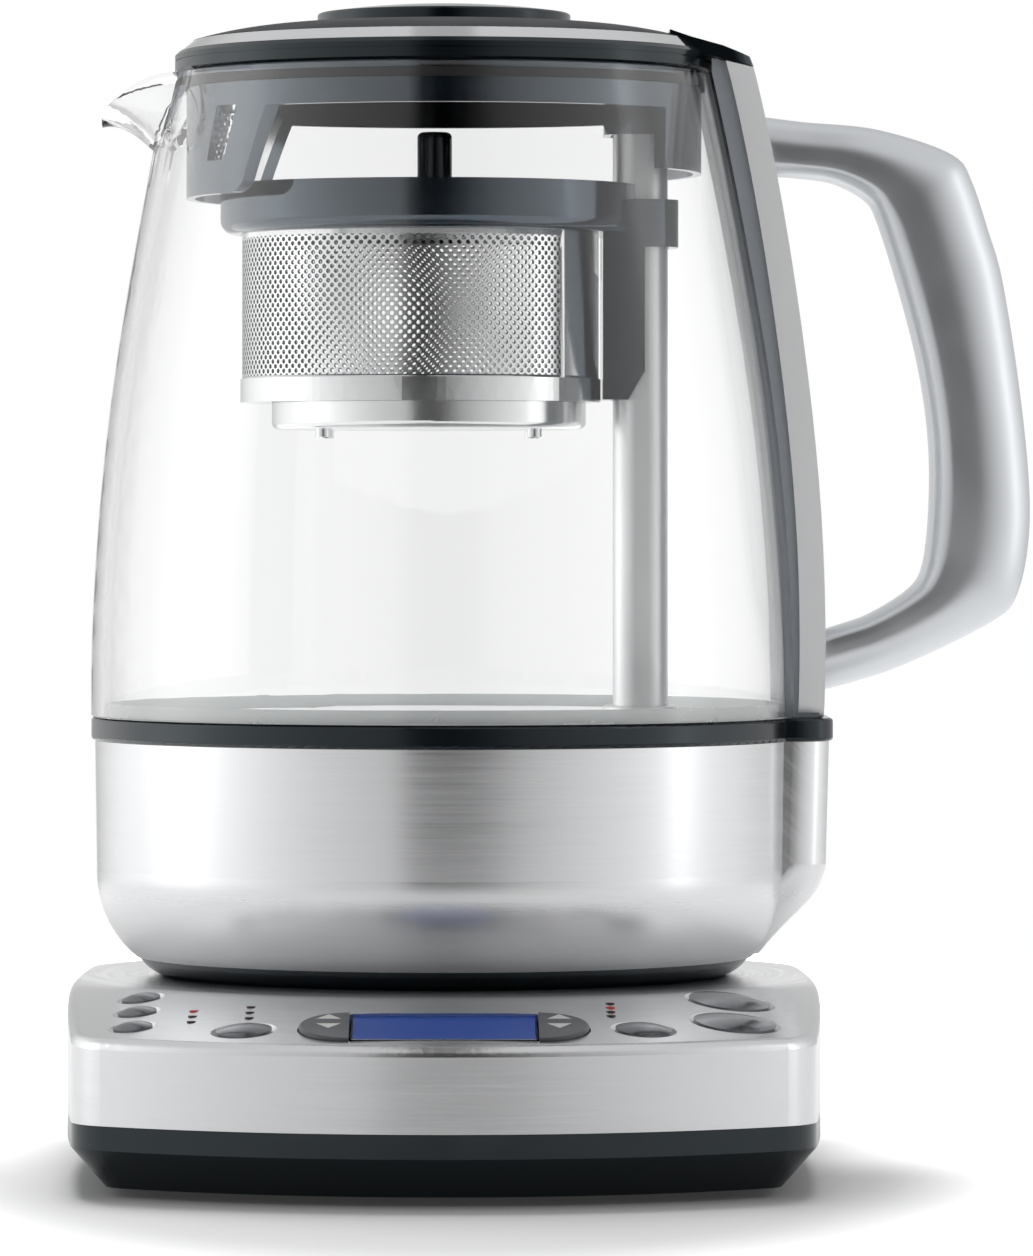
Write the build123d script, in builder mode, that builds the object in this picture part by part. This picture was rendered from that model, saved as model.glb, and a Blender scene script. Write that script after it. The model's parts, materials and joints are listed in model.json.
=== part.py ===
from build123d import *
import os
from math import atan2, cos, hypot, radians, sin, sqrt, tan

# An automatic tea maker: a glass jug with a steel boiler housing stands on a flat power base,
# and a motor in the jug lowers and raises a tea basket along a steel post inside it.
# The origin is where the jug's axis meets the table.  +X points to the handle, -Y to the
# person at the control panel and +Z up.  Millimetres.

os.makedirs("parts", exist_ok=True)

# ---------------------------------------------------------------- fits
seat_gap = 0.05      # bearing faces within one assembly
slip_gap = 0.15      # a button in its hole, a bush on its tube
moving_gap = 0.3     # curved neighbours on different moving assemblies

# ---------------------------------------------------------------- power base
foot_height = 2.0            # how far the rubber feet lift the tray
tray_shoulder_z = 10.0       # where the tray's slanted side turns upright
seam_z = 14.9                # joint between the tray and the steel cover
base_top_z = 39.2            # the flat that the jug stands on
panel_slope = 10.0           # fall of the control panel round the flat, degrees
panel_blend_r = 40.0         # soft bend between the flat and the panel
base_front_r = 121.5         # front edge, struck from the jug's axis
base_side_x = 78.0           # half width at the waist
base_side_r = 840.0          # bow of the sides
base_waist_y = -15.0
base_rear_y = 92.0
base_rear_r = 141.0          # bow of the rear edge
front_corner_r = 14.5
rear_corner_r = 38.0
base_edge_r = 2.4            # rounding along the cover's top edge
cover_wall = 1.5
tray_wall = 2.2
tray_toe_in = 7.0            # how far the tray's underside lies inside its rim
tray_floor = 2.4
foot_r = 7.0
foot_recess = 0.7
screw_r = 1.5
screw_head_r = 3.0
screw_head_h = 2.2
screw_bite = 8.0             # how far a screw reaches into the cover's boss
boss_r = 4.0
boss_split_z = 22.0          # where the cover's bosses meet the tray's
# distance from the middle line, and from the front edge or the rear one
front_foot = (52.0, 54.0)
rear_foot = (50.0, 30.0)
front_screw = (62.0, 69.5)
rear_screw = (60.0, 52.0)

# ---------------------------------------------------------------- power connector
connector_r = 10.6
connector_rise = 13.8        # height above the base's flat
connector_land = 5.0         # width of the land round the post, let into the steel
connector_flange_r = 21.0
connector_flange_h = 2.0
connector_leg_r = 2.6
contact_ring_h = 2.4
contact_ring_t = 0.7
contact_ring_rises = (3.4, 8.2)
contact_pin_r = 1.6
contact_pin_rise = 3.0
contact_pin_depth = 5.0

# ---------------------------------------------------------------- control panel
board_z = 19.0               # underside of the circuit board
board_t = 1.6
board_depth = 71.5           # from the front edge to the board's rear edge
board_margin = 9.0
board_peg_r = 2.5
board_pegs = [(26.0, 13.5), (30.0, 61.5)]    # distance from the middle line and the front edge
button_travel = 1.2
button_crown = 1.1           # height of a cap's dome above the panel
button_edge_rise = 0.2       # height of the dome's edge above the panel
button_lip = 0.9             # flange that keeps a cap in its hole
button_lip_t = 0.8
stem_r = 1.7
switch_r = 2.4
switch_h = 3.6
# each button: name, x, distance from the front edge, cap radius, width of the bevel round its hole
button_table = [
    ("preset_button_1", -61.7, 58.1, 4.0, 0.85),
    ("preset_button_2", -61.9, 44.1, 4.0, 0.85),
    ("preset_button_3", -62.2, 29.9, 4.0, 0.85),
    ("leaf_button", -39.7, 18.7, 5.6, 0.9),
    ("strength_button", 39.6, 19.5, 5.6, 0.9),
    ("water_button", 57.9, 52.7, 8.3, 0.9),
    ("brew_button", 58.2, 32.1, 8.3, 0.9),
]
lamp_r = 0.9
# lamps: x, distance from the front edge
lit_lamp_table = [(-50.3, 39.7), (33.4, 36.8)]
dark_lamp_table = [(-50.4, 34.8), (-50.5, 29.9), (-38.8, 39.0), (-38.9, 34.2), (-38.9, 29.4),
                   (33.4, 40.4), (33.4, 33.2), (33.4, 29.6)]
display_setback = 16.6       # from the front edge to the display's centre
display_w = 37.0
display_h = 21.6
window_t = 1.3
window_rise = 0.15           # the window stands just proud of the steel
rocker_reach = 10.0          # length of a rocker pad beyond the display
rocker_t = 2.0
rocker_rise = 0.35
rocker_pin_r = 1.2
rocker_pin_drop = 3.2
rocker_gap = 0.3
rocker_switch_r = 1.5
rocker_switch_v = 6.5        # from the display's middle line to a rocker's switch
rocker_switch_h = 1.7
frame_floor = 4.9            # depth of the frame's floor under the panel
frame_base_t = 1.5
frame_margin = 3.0
ear_t = 1.8
ear_w = 5.0
ear_top = 1.8                # depth of the ears' tops under the panel

# ---------------------------------------------------------------- cord gland
gland_z = 25.0
gland_bore_r = 3.4           # grips the cord's sheath
gland_throat_r = 4.0
gland_neck_r = 5.0
gland_sleeve_r = 4.7         # tip of the sleeve
gland_flange_r = 6.6
gland_flange_t = 1.6
gland_reach = 7.0            # how far the sleeve stands out of the steel
gland_grip = 5.0             # length of the narrow bore in the sleeve

# ---------------------------------------------------------------- boiler housing under the glass
housing_r = 73.9
housing_h = 45.6
housing_wall = 1.0
housing_toe_in = 8.7         # how far the housing's foot lies inside its rim
housing_turn_h = 18.8        # height over which the side curves in
jug_foot_h = 4.0
jug_foot_toe_in = 5.5        # the black foot narrows by this towards the base
jug_foot_floor = 2.4
foot_collar_h = 8.0
foot_collar_t = 2.0
plateau_margin = 7.1         # the base's flat reaches this far past the housing
lobe_reach = 7.1             # the lobe under the handle column, past the round housing
lobe_half_w = 20.0
lobe_corner_r = 8.0
lobe_base_rise = 1.0         # the lobe starts this far above the housing's foot
lobe_belly_in = 6.9          # its curved underside: inside the lobe's face, at a height
lobe_belly_h = 9.5
socket_gap = 0.6             # between the jug's socket and the connector
socket_wall = 2.4
socket_depth = 18.2
socket_flange_r = 24.0
socket_screw_r = 1.0
trim_h = 4.85
trim_proud = 0.8             # the black ring stands out from the steel by this
ring_ledge_w = 7.9           # width of the ledge that carries the glass's seal
trim_skirt_h = 3.0
trim_skirt_t = 1.7

# ---------------------------------------------------------------- glass
glass_proud = 0.9            # the glass's foot stands out from the housing's rim by this
glass_lift = 0.4             # from the black ring up to the glass
glass_wall = 2.6
glass_h = 135.1
# side of the glass: share of its height, and how much narrower it is there than at its foot
glass_taper = [(0.0, 0.0), (0.125, 0.2), (0.303, 1.6), (0.495, 4.3), (0.68, 8.2), (0.865, 12.8), (1.0, 16.6)]
# spout sections: reach past the mouth, drop of the underside and of the centre, half width
spout_table = [(-8.2, 23.2, 5.2, 21.0), (2.3, 16.9, 4.2, 15.5), (8.3, 11.9, 4.2, 9.0), (14.2, 10.8, 6.8, 4.2)]
# the lip's edge, seen from the side: reach past the mouth, and drop below it
lip_table = [(-0.7, 0.0), (7.9, 2.6), (14.4, 8.2)]
seal_lip_h = 2.6
floor_t = 1.2                # jug floor, which is the heating plate
floor_inset = 12.8           # the raised floor's edge, inside the glass's foot
element_inset = 16.0
element_tube_r = 3.3
element_gap_angle = 80.0
element_leg = 9.0
sensor_spot = (-20.0, 12.0)

# ---------------------------------------------------------------- handle column and handle
# outer face of the steel column: share of the glass's height, reach past the glass's foot
column_table = [(-0.002, 4.8), (0.155, 5.1), (0.351, 3.9), (0.584, 0.5), (0.765, -3.2), (0.95, -8.1),
                (1.002, -9.8), (1.021, -10.5), (1.039, -11.1)]
column_half_w = 19.0
column_depth = 5.4
column_wall = 1.0
column_corner_r = 3.5
spine_half_w = 16.5
spine_depth = 16.0
handle_half_w = 11.0
# the handle's side view, from the upper root to the lower one, in the column's measure
handle_outer_table = [(0.942, -12.8), (0.929, 0.7), (0.916, 17.6), (0.87, 34.4), (0.838, 36.9), (0.759, 40.5),
                      (0.681, 43.5), (0.295, 49.4), (0.172, 45.6), (0.147, 41.7), (0.075, 21.7), (0.05, 11.7),
                      (0.019, -2.8)]
handle_inner_table = [(0.848, -12.8), (0.842, 0.2), (0.832, 8.5), (0.802, 15.4), (0.779, 17.0), (0.548, 25.9),
                      (0.391, 28.4), (0.234, 26.9), (0.204, 25.0), (0.158, 15.7), (0.136, 7.5), (0.113, -2.8)]
handle_round = 5.2
handle_screw_table = [(0.88, -6.2, 0.2), (0.088, 5.05, 0.0)]    # the last value is the face's lean
handle_screw_r = 2.0
handle_screw_head_r = 3.6
handle_screw_head_h = 1.6
handle_screw_l = 9.0

# ---------------------------------------------------------------- lid
lid_inset = 1.2              # the lid's rim lies inside the glass's mouth by this
lid_lift = 0.4               # from the glass up to the rim
lid_rim_h = 4.6
lid_band_h = 2.3
lid_band_slope = 2.8         # how much narrower the steel band is at its top
lid_dome_h = 3.2
lid_wall = 1.6
knob_r = 26.8
knob_h = 2.65               # height of the knob's edge
knob_crown = 2.0
knob_stem_r = 8.0
knob_stem_l = 3.0
rim_groove_h = 2.4           # height of the groove round the rim, above its foot
rim_groove_w = 0.35
tail_half_w = 19.0
# side view of the tail, in reach past the lid's rim and height above the rim's foot:
# its top from the dome outwards, its tip, and its underside back in
tail_table = [(-9.7, 8.5), (-5.3, 7.0), (1.5, 5.1), (7.2, 2.8),
              (8.0, 0.8), (-3.0, 3.4), (-7.0, 5.0), (-9.7, 6.1)]
tail_tip_r = 3.0
skirt_gap = 1.0              # between the skirt and the inside of the glass's mouth
skirt_wall = 1.8
skirt_drop = 8.8             # lower edge between the two tabs, below the rim
roof_t = 1.6                 # the skirt's roof
spout_tab_drop = 26.6        # foot of the tab at the spout
spout_tab_half_top = 41.0    # half width of that tab where it leaves the skirt
spout_tab_half_foot = 35.1
spout_tab_corner_r = 4.0
post_tab_drop = 21.4         # foot of the tab at the post
post_tab_half_w = 30.5
post_socket_wall = 1.6
post_socket_gap = 0.5
post_socket_overlap = 3.0    # how far the socket reaches down over the post's top
filter_t = 0.5
filter_margin = 2.5          # the sheet lies inside the tab's edges by this
filter_window_angle = 7.5    # width of a filter window, degrees
filter_window_h = 11.3
filter_window_drop = 14.0
filter_window_lean = 24.0
filter_window_angles = (-33.0, 0.0, 33.0)
lid_seal_t = 0.6
lid_seal_h = 2.0
lid_seal_drop = 3.6

# ---------------------------------------------------------------- lift post and drive
post_clear = 11.2            # from the inside of the lid's skirt to the post's axis
post_half_x = 5.7
post_half_y = 8.0
post_corner_r = 4.2
post_wall = 1.2
post_drop = 10.2             # the post's top, below the lid's rim
post_foot_t = 1.6
post_foot_rim = 2.2
post_tail = 10.4             # open lower end, below the jug's floor
post_seal_t = 1.0
pulley_r = 4.0
pulley_half_w = 1.7
pulley_flange_t = 0.5
pulley_flange_r = 4.9
pulley_bore_r = 1.0
drive_drop = 18.9            # the drive pulley's axis, below the floor
idler_drop = 9.9             # the idler's axis, below the post's top
belt_t = 0.7
motor_r = 8.0
motor_length = 20.0
gearbox_length = 7.0
gearbox_gap = 3.0            # from the belt's middle plane to the gearbox
shaft_r = 1.5
shaft_length = 5.0
bracket_clear = 1.6          # between the jug's socket and the motor's bracket
bracket_w = 5.6
bracket_toe = 7.0
bracket_wall = 2.2
carriage_half_x = 3.9
carriage_half_y = 3.4
carriage_h = 13.0
carriage_arm_y = 6.1         # how far the carriage's arm reaches round the belt

# ---------------------------------------------------------------- tea basket
basket_x = -3.2
collar_inset = 14.0          # the collar's radius, inside the glass's mouth
collar_drop = 23.8           # its top, below the lid's rim
collar_h = 10.3
collar_wall = 1.8
collar_round = 3.0           # soft lower edge
collar_ledge_t = 1.9         # ledge that the strainer hangs from
strainer_shift = 1.8         # the strainer's axis lies this far behind the collar's
strainer_inset = 6.4
strainer_h = 31.4
strainer_t = 0.7
strainer_flange = 2.4
ring_proud = 0.4
ring_h = 6.0
ring_wall = 1.6
pan_inset = 4.5
pan_h = 5.7
pan_wall = 0.8
pan_round = 1.5
basket_foot_r = 1.6
basket_foot_h = 1.7
basket_foot_spot = (22.1, 15.5)
post_gap = 0.35              # running clearance of the basket on the post
hook_wall = 1.9
hook_h = 10.0
hook_drop = 3.1              # below the collar's top
rider_back = 8.2             # the rider's faces, from the post's axis towards the strainer
rider_front = 0.6            # and past it
rider_chamfer = (3.5, 6.0)
magnet_t = 1.4
magnet_w = 8.0
magnet_h = 9.0
magnet_drop = 9.5            # foot of the magnets, below the collar's foot
cover_inset = 0.3
cover_drop = 3.0             # the cover's underside, below the collar's top
cover_t = 2.0
cover_bead_w = 0.9
cover_bead_h = 1.2
peg_x = -2.0
peg_r = 3.7
peg_h = 14.4

# ---------------------------------------------------------------- sizes that follow
display_r = base_front_r - display_setback
buttons = [(name, x, setback - base_front_r, r, bevel) for name, x, setback, r, bevel in button_table]
lit_lamps = [(x, setback - base_front_r) for x, setback in lit_lamp_table]
dark_lamps = [(x, setback - base_front_r) for x, setback in dark_lamp_table]
board_peg_spots = [(side * x, setback - base_front_r) for x, setback in board_pegs for side in (-1, 1)]

plateau_r = housing_r + plateau_margin
housing_base_z = base_top_z + jug_foot_h
housing_top_z = housing_base_z + housing_h
housing_base_r = housing_r - housing_toe_in
housing_turn_z = housing_base_z + housing_turn_h
foot_base_r = housing_base_r - jug_foot_toe_in
lobe_x = housing_r + lobe_reach
trim_base_z = housing_top_z + seat_gap
trim_top_z = trim_base_z + trim_h

glass_r = housing_r + glass_proud
glass_base_z = trim_top_z + glass_lift
glass_mouth_z = glass_base_z + glass_h
glass_stations = [(glass_r - narrowing, glass_base_z + share * glass_h) for share, narrowing in glass_taper]
mouth_r = glass_stations[-1][0]
spout_sections = [(-mouth_r - reach, glass_mouth_z - underside, glass_mouth_z - centre, half_w)
                  for reach, underside, centre, half_w in spout_table]
spout_lip = [(-mouth_r - reach, glass_mouth_z - drop) for reach, drop in lip_table]

column_stations = [(glass_r + reach, glass_base_z + share * glass_h) for share, reach in column_table]
handle_outer = [(glass_r + reach, glass_base_z + share * glass_h) for share, reach in handle_outer_table]
handle_inner = [(glass_r + reach, glass_base_z + share * glass_h) for share, reach in handle_inner_table]

lid_r = mouth_r - lid_inset
lid_base_z = glass_mouth_z + lid_lift
lid_seam_z = lid_base_z + lid_rim_h
lid_band_r = lid_r - 1.0
lid_band_top_r = lid_band_r - lid_band_slope
lid_band_top_z = lid_seam_z + lid_band_h
lid_dome_top_z = lid_band_top_z + lid_dome_h
knob_base_z = lid_dome_top_z + seat_gap
knob_edge_z = knob_base_z + knob_h
knob_top_z = knob_edge_z + knob_crown
tail_outline = [(lid_r + reach, lid_base_z + height) for reach, height in tail_table]
skirt_r = mouth_r - glass_wall - skirt_gap
skirt_edge_z = lid_base_z - skirt_drop
spout_tab_z = lid_base_z - spout_tab_drop
post_tab_z = lid_base_z - post_tab_drop
filter_window_z = lid_base_z - filter_window_drop
lid_seal_z = lid_base_z - lid_seal_drop

floor_top = glass_base_z + 0.3
floor_r = glass_r - floor_inset
element_ring_r = floor_r - element_inset
post_x = skirt_r - skirt_wall - post_clear
post_top_z = lid_base_z - post_drop
post_tail_z = floor_top - post_tail
post_socket_z = post_top_z - post_socket_overlap
drive_z = floor_top - drive_drop
idler_z = post_top_z - idler_drop

collar_r = mouth_r - collar_inset
collar_top_z = lid_base_z - collar_drop
collar_base_z = collar_top_z - collar_h
collar_ledge_z = collar_base_z + collar_ledge_t
strainer_x = basket_x - strainer_shift
strainer_r = collar_r - strainer_inset
strainer_flange_r = strainer_r + strainer_flange
strainer_top_z = collar_ledge_z + seat_gap + strainer_t
strainer_base_z = collar_ledge_z - strainer_h
ring_r = strainer_r + ring_proud
ring_base_z = strainer_base_z - ring_h
pan_r = strainer_r - pan_inset
pan_base_z = ring_base_z - pan_h
hook_top_z = collar_top_z - hook_drop
hook_base_z = hook_top_z - hook_h
rider_x = post_x + rider_front
rider_back_x = post_x - rider_back
rider_base_z = ring_base_z + 0.5
magnet_z0 = collar_base_z - magnet_drop
cover_r = collar_r - collar_wall - cover_inset
cover_z = collar_top_z - cover_drop
peg_top_z = cover_z + peg_h

beyond = 2 * knob_top_z      # past everything, for cuts


# ================================================================ shared forms
def panel_height(x, y):
    """Height of the base's top surface: flat round the jug, then falling outwards."""
    outside = max(0.0, hypot(x, y) - plateau_r)
    return base_top_z - outside * tan(radians(panel_slope))


def panel_plane(x, y, square=False):
    """Plane on the control panel, normal to its slope; square keeps its x along the base."""
    azimuth = 0.0 if square else atan2(x, -y)
    slope = radians(panel_slope)
    normal = (sin(slope) * sin(azimuth), -sin(slope) * cos(azimuth), cos(slope))
    along = (cos(azimuth), sin(azimuth), 0)
    return Plane(origin=(x, y, panel_height(x, y)), x_dir=along, z_dir=normal)


def base_plan(inset):
    """Outline of the base, seen from above: four arcs with rounded corners."""
    with BuildSketch() as plan:
        Circle(base_front_r - inset)
        for side in (-1, 1):
            with Locations((side * (base_side_x - base_side_r), base_waist_y)):
                Circle(base_side_r - inset, mode=Mode.INTERSECT)
        with Locations((0, base_rear_y - base_rear_r)):
            Circle(base_rear_r - inset, mode=Mode.INTERSECT)
        fillet(plan.vertices().group_by(Axis.Y)[0], front_corner_r - inset)
        fillet(plan.vertices().group_by(Axis.Y)[-1], rear_corner_r - inset)
    return plan.sketch


def base_form(inset):
    """Closed form of the steel cover; an inset gives the hollow inside it."""
    roof_z = base_top_z - inset
    reach = base_front_r + base_edge_r
    blend_start = plateau_r - panel_blend_r * tan(radians(panel_slope / 2))
    with BuildPart() as form:
        with BuildSketch(Plane.XY.offset(seam_z)):
            add(base_plan(inset))
        extrude(amount=roof_z - seam_z)
        with BuildSketch(Plane.XZ):
            with BuildLine():
                bend = JernArc((blend_start, roof_z), (1, 0), panel_blend_r, -panel_slope)
                fall = Line(bend @ 1, (reach, roof_z - (reach - plateau_r) * tan(radians(panel_slope))))
                Polyline(fall @ 1, (reach, beyond), (blend_start, beyond), bend @ 0)
            make_face()
        revolve(axis=Axis.Z, mode=Mode.SUBTRACT)
        sides = form.faces().filter_by(lambda f: abs(f.normal_at(f.center()).Z) < 0.1)
        top_edges = sides.edges().filter_by(lambda e: e.center().Z > seam_z + 1).filter_by(
            Axis.Z, reverse=True)
        fillet(top_edges, base_edge_r - inset)
    return form.part


def display_outline(margin):
    """The display with a half-oval pad at each end, widened all round by a margin."""
    with BuildSketch() as outline:
        Rectangle(display_w + 2 * rocker_gap, display_h + 2 * margin)
        for side in (-1, 1):
            with Locations((side * (display_w / 2 + rocker_gap), 0)):
                Ellipse(rocker_reach + margin, display_h / 2 + margin)
    return outline.sketch


def four_spots(front, rear):
    """Two spots near the base's front edge and two near its rear one, left and right."""
    spots = []
    for side in (-1, 1):
        spots.append((side * front[0], front[1] - base_front_r))
        spots.append((side * rear[0], base_rear_y - rear[1]))
    return spots


def turned(outline):
    """A turned part: a closed outline of (radius, height) spun about Z."""
    with BuildPart() as blank:
        with BuildSketch(Plane.XZ):
            with BuildLine():
                Polyline(*outline, close=True)
            make_face()
        revolve(axis=Axis.Z)
    return blank.part


# ================================================================ power base
front_panel = panel_plane(0, -display_r, square=True)
board_top_z = board_z + board_t
connector_land_r = connector_r + connector_land
connector_top_z = base_top_z + connector_rise
foot_spots = four_spots(front_foot, rear_foot)
screw_spots = four_spots(front_screw, rear_screw)

with BuildPart() as base_cover:
    add(base_form(0))
    add(base_form(cover_wall), mode=Mode.SUBTRACT)
    # bosses for the tray's screws
    with BuildSketch(Plane.XY.offset(boss_split_z)):
        with Locations(*screw_spots):
            Circle(boss_r)
            Circle(screw_r - 0.1, mode=Mode.SUBTRACT)
    extrude(amount=base_top_z - cover_wall / 2 - boss_split_z)
    # holes for the caps, each with a bright bevel
    for name, x, y, cap_r, bevel in buttons:
        hole_r = cap_r + slip_gap
        with Locations(panel_plane(x, y)):
            CounterSinkHole(hole_r, hole_r + bevel, depth=3 * cover_wall, counter_sink_angle=90)
    with BuildSketch(front_panel.offset(button_crown)):
        add(display_outline(rocker_gap))
    extrude(amount=-button_crown - 4 * cover_wall, mode=Mode.SUBTRACT)
    for x, y in lit_lamps + dark_lamps:
        with Locations((x, y, panel_height(x, y))):
            Hole(lamp_r + seat_gap, depth=3 * cover_wall)
    with Locations((0, 0, base_top_z)):
        Hole(connector_land_r + slip_gap, depth=3 * cover_wall)
    with Locations(Plane(origin=(0, base_rear_y, gland_z), z_dir=(0, 1, 0))):
        Hole(gland_neck_r + seat_gap, depth=4 * cover_wall)

base_cover.part.label = "base_cover"
export_step(base_cover.part, "parts/base_cover.step")


def tray_form(inset, low_z):
    """Closed form of the tray: its underside slants in from an upright rim."""
    with BuildPart() as form:
        with BuildSketch(Plane.XY.offset(low_z)):
            add(base_plan(inset))
        extrude(amount=seam_z - seat_gap - low_z)
        underside = form.faces().sort_by(Axis.Z)[0]
        chamfer(underside.edges(), length=tray_toe_in, length2=tray_shoulder_z - low_z,
                reference=underside)
    return form.part


lip_height = 3.0
floor_top_z = foot_height + tray_floor

with BuildPart() as base_tray:
    add(tray_form(0, foot_height))
    add(tray_form(tray_wall, floor_top_z), mode=Mode.SUBTRACT)
    # lip that centres the steel cover
    with BuildSketch(Plane.XY.offset(tray_shoulder_z)):
        add(base_plan(cover_wall + seat_gap))
        add(base_plan(tray_wall + 1), mode=Mode.SUBTRACT)
    extrude(amount=seam_z + lip_height - tray_shoulder_z)
    with BuildSketch(Plane.XY.offset(floor_top_z - 1)):
        with Locations(*screw_spots):
            Circle(boss_r)
    extrude(amount=boss_split_z - seat_gap - floor_top_z + 1)
    with BuildSketch(Plane.XY.offset(floor_top_z - 1)):
        with Locations(*board_peg_spots):
            Circle(board_peg_r)
    extrude(amount=board_z - seat_gap - floor_top_z + 1)
    with Locations(*[Location((x, y, foot_height), (180, 0, 0)) for x, y in screw_spots]):
        CounterBoreHole(screw_r + slip_gap, screw_head_r + slip_gap, screw_head_h,
                        depth=boss_split_z)
    with BuildSketch(Plane.XY.offset(foot_height)):
        with Locations(*foot_spots):
            Circle(foot_r + seat_gap)
    extrude(amount=foot_recess + seat_gap, mode=Mode.SUBTRACT)

base_tray.part.label = "base_tray"
export_step(base_tray.part, "parts/base_tray.step")

with BuildPart() as base_feet:
    with BuildSketch():
        with Locations(*foot_spots):
            Circle(foot_r)
    extrude(amount=foot_height + foot_recess)
    fillet(base_feet.faces().sort_by(Axis.Z)[:len(foot_spots)].edges(), 0.6)

base_feet.part.label = "base_feet"
export_step(base_feet.part, "parts/base_feet.step")

with BuildPart() as base_screws:
    with BuildSketch(Plane.XY.offset(foot_height + seat_gap)):
        with Locations(*screw_spots):
            Circle(screw_head_r)
    extrude(amount=screw_head_h - 2 * seat_gap)
    with BuildSketch(Plane.XY.offset(foot_height + screw_head_h - 2 * seat_gap)):
        with Locations(*screw_spots):
            Circle(screw_r - 0.15)
    extrude(amount=boss_split_z + screw_bite - foot_height - screw_head_h)

base_screws.part.label = "base_screws"
export_step(base_screws.part, "parts/base_screws.step")

# The connector: a post in the middle of the base that the jug drops over.
skin_z = base_top_z - cover_wall
with BuildPart() as connector_post:
    with BuildSketch(Plane.XZ):
        with BuildLine():
            Polyline((0, skin_z - connector_flange_h), (connector_flange_r, skin_z - connector_flange_h),
                     (connector_flange_r, skin_z - seat_gap), (connector_land_r, skin_z - seat_gap),
                     (connector_land_r, base_top_z + moving_gap), (connector_r, base_top_z + moving_gap),
                     (connector_r, connector_top_z - 2), (connector_r - 2, connector_top_z),
                     (0, connector_top_z), close=True)
        make_face()
    revolve(axis=Axis.Z)
    for rise in contact_ring_rises:
        with BuildSketch(Plane.XY.offset(base_top_z + rise - seat_gap)):
            Circle(connector_r + 1)
            Circle(connector_r - contact_ring_t - seat_gap, mode=Mode.SUBTRACT)
        extrude(amount=contact_ring_h + 2 * seat_gap, mode=Mode.SUBTRACT)
    with Locations((0, 0, connector_top_z)):
        Hole(contact_pin_r + seat_gap, depth=contact_pin_depth + 1)
    # legs down to the tray
    with BuildSketch(Plane.XY.offset(floor_top_z + seat_gap)):
        with PolarLocations(connector_flange_r - 3, 3):
            Circle(connector_leg_r)
    extrude(amount=skin_z - connector_flange_h - floor_top_z)

connector_post.part.label = "connector_post"
export_step(connector_post.part, "parts/connector_post.step")

with BuildPart() as contact_rings:
    for rise in contact_ring_rises:
        with BuildSketch(Plane.XY.offset(base_top_z + rise)):
            Circle(connector_r - seat_gap)
            Circle(connector_r - contact_ring_t, mode=Mode.SUBTRACT)
        extrude(amount=contact_ring_h)
    with BuildSketch(Plane.XY.offset(connector_top_z - contact_pin_depth)):
        Circle(contact_pin_r)
    extrude(amount=contact_pin_depth + contact_pin_rise)
    fillet(contact_rings.edges().sort_by(Axis.Z)[-1], 0.8)

contact_rings.part.label = "contact_rings"
export_step(contact_rings.part, "parts/contact_rings.step")

# Rubber gland: a groove holds it in the steel, and its sleeve grips the cord.
gland_back = -cover_wall - 2 * slip_gap
grip_start = gland_reach - gland_grip
with BuildPart() as cord_gland:
    with Locations(Plane(origin=(0, base_rear_y, gland_z), x_dir=(1, 0, 0), z_dir=(0, 1, 0))):
        add(turned([(gland_bore_r, gland_reach), (gland_sleeve_r, gland_reach),
                    (gland_neck_r, gland_flange_t), (gland_flange_r, gland_flange_t),
                    (gland_flange_r, slip_gap), (gland_neck_r, slip_gap),
                    (gland_neck_r, gland_back), (gland_flange_r, gland_back),
                    (gland_flange_r, gland_back - gland_flange_t),
                    (gland_throat_r, gland_back - gland_flange_t), (gland_throat_r, grip_start),
                    (gland_bore_r, grip_start)]))

cord_gland.part.label = "cord_gland"
export_step(cord_gland.part, "parts/cord_gland.step")

# ---------------------------------------------------------------- control panel
with BuildPart() as control_board:
    with BuildSketch(Plane.XY.offset(board_z)):
        add(base_plan(board_margin))
        with Locations((0, board_depth - base_front_r)):
            Rectangle(beyond, beyond, align=(Align.CENTER, Align.MIN), mode=Mode.SUBTRACT)
        with Locations(*screw_spots):
            Circle(boss_r + 1, mode=Mode.SUBTRACT)
    extrude(amount=board_t)

control_board.part.label = "control_board"
export_step(control_board.part, "parts/control_board.step")


def stem_length(x, y):
    """From the panel's surface down to the tip of a button's stem."""
    depth = (panel_height(x, y) - board_top_z) / cos(radians(panel_slope))
    return depth - switch_h - button_travel - slip_gap


def crown_point(edge_r, edge_z, top_z):
    """A point half way out on the spherical crown that joins an edge to its top on the axis."""
    rise = top_z - edge_z
    ball_r = (edge_r ** 2 + rise ** 2) / (2 * rise)
    return edge_r / 2, top_z - ball_r + sqrt(ball_r ** 2 - (edge_r / 2) ** 2)


def cap_form(cap_r, stem):
    """A button: domed cap, the lip that keeps it in its hole, and a stem to its switch."""
    lip_top = -cover_wall - slip_gap
    lip_base = lip_top - button_lip_t
    edge_z = button_edge_rise
    with BuildPart() as cap:
        with BuildSketch(Plane.XZ):
            with BuildLine():
                Polyline((0, button_crown), (0, -stem), (stem_r, -stem), (stem_r, lip_base),
                         (cap_r + button_lip, lip_base), (cap_r + button_lip, lip_top),
                         (cap_r, lip_top), (cap_r, edge_z))
                ThreePointArc((cap_r, edge_z), crown_point(cap_r, edge_z, button_crown), (0, button_crown))
            make_face()
        revolve(axis=Axis.Z)
    return cap.part


for name, x, y, cap_r, bevel in buttons:
    with BuildPart() as button:
        with Locations(panel_plane(x, y)):
            add(cap_form(cap_r, stem_length(x, y)))
    button.part.label = name
    export_step(button.part, f"parts/{name}.step")

# The switches stand on the board under the buttons, and on the frame under the rockers.
rocker_x = display_w / 2 + rocker_gap + rocker_reach / 2
ear_reach = rocker_reach * 0.72
switch_spot_x = display_w / 2 + rocker_gap + ear_t + 0.2 + (ear_reach - 2 * ear_t) / 2

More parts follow.
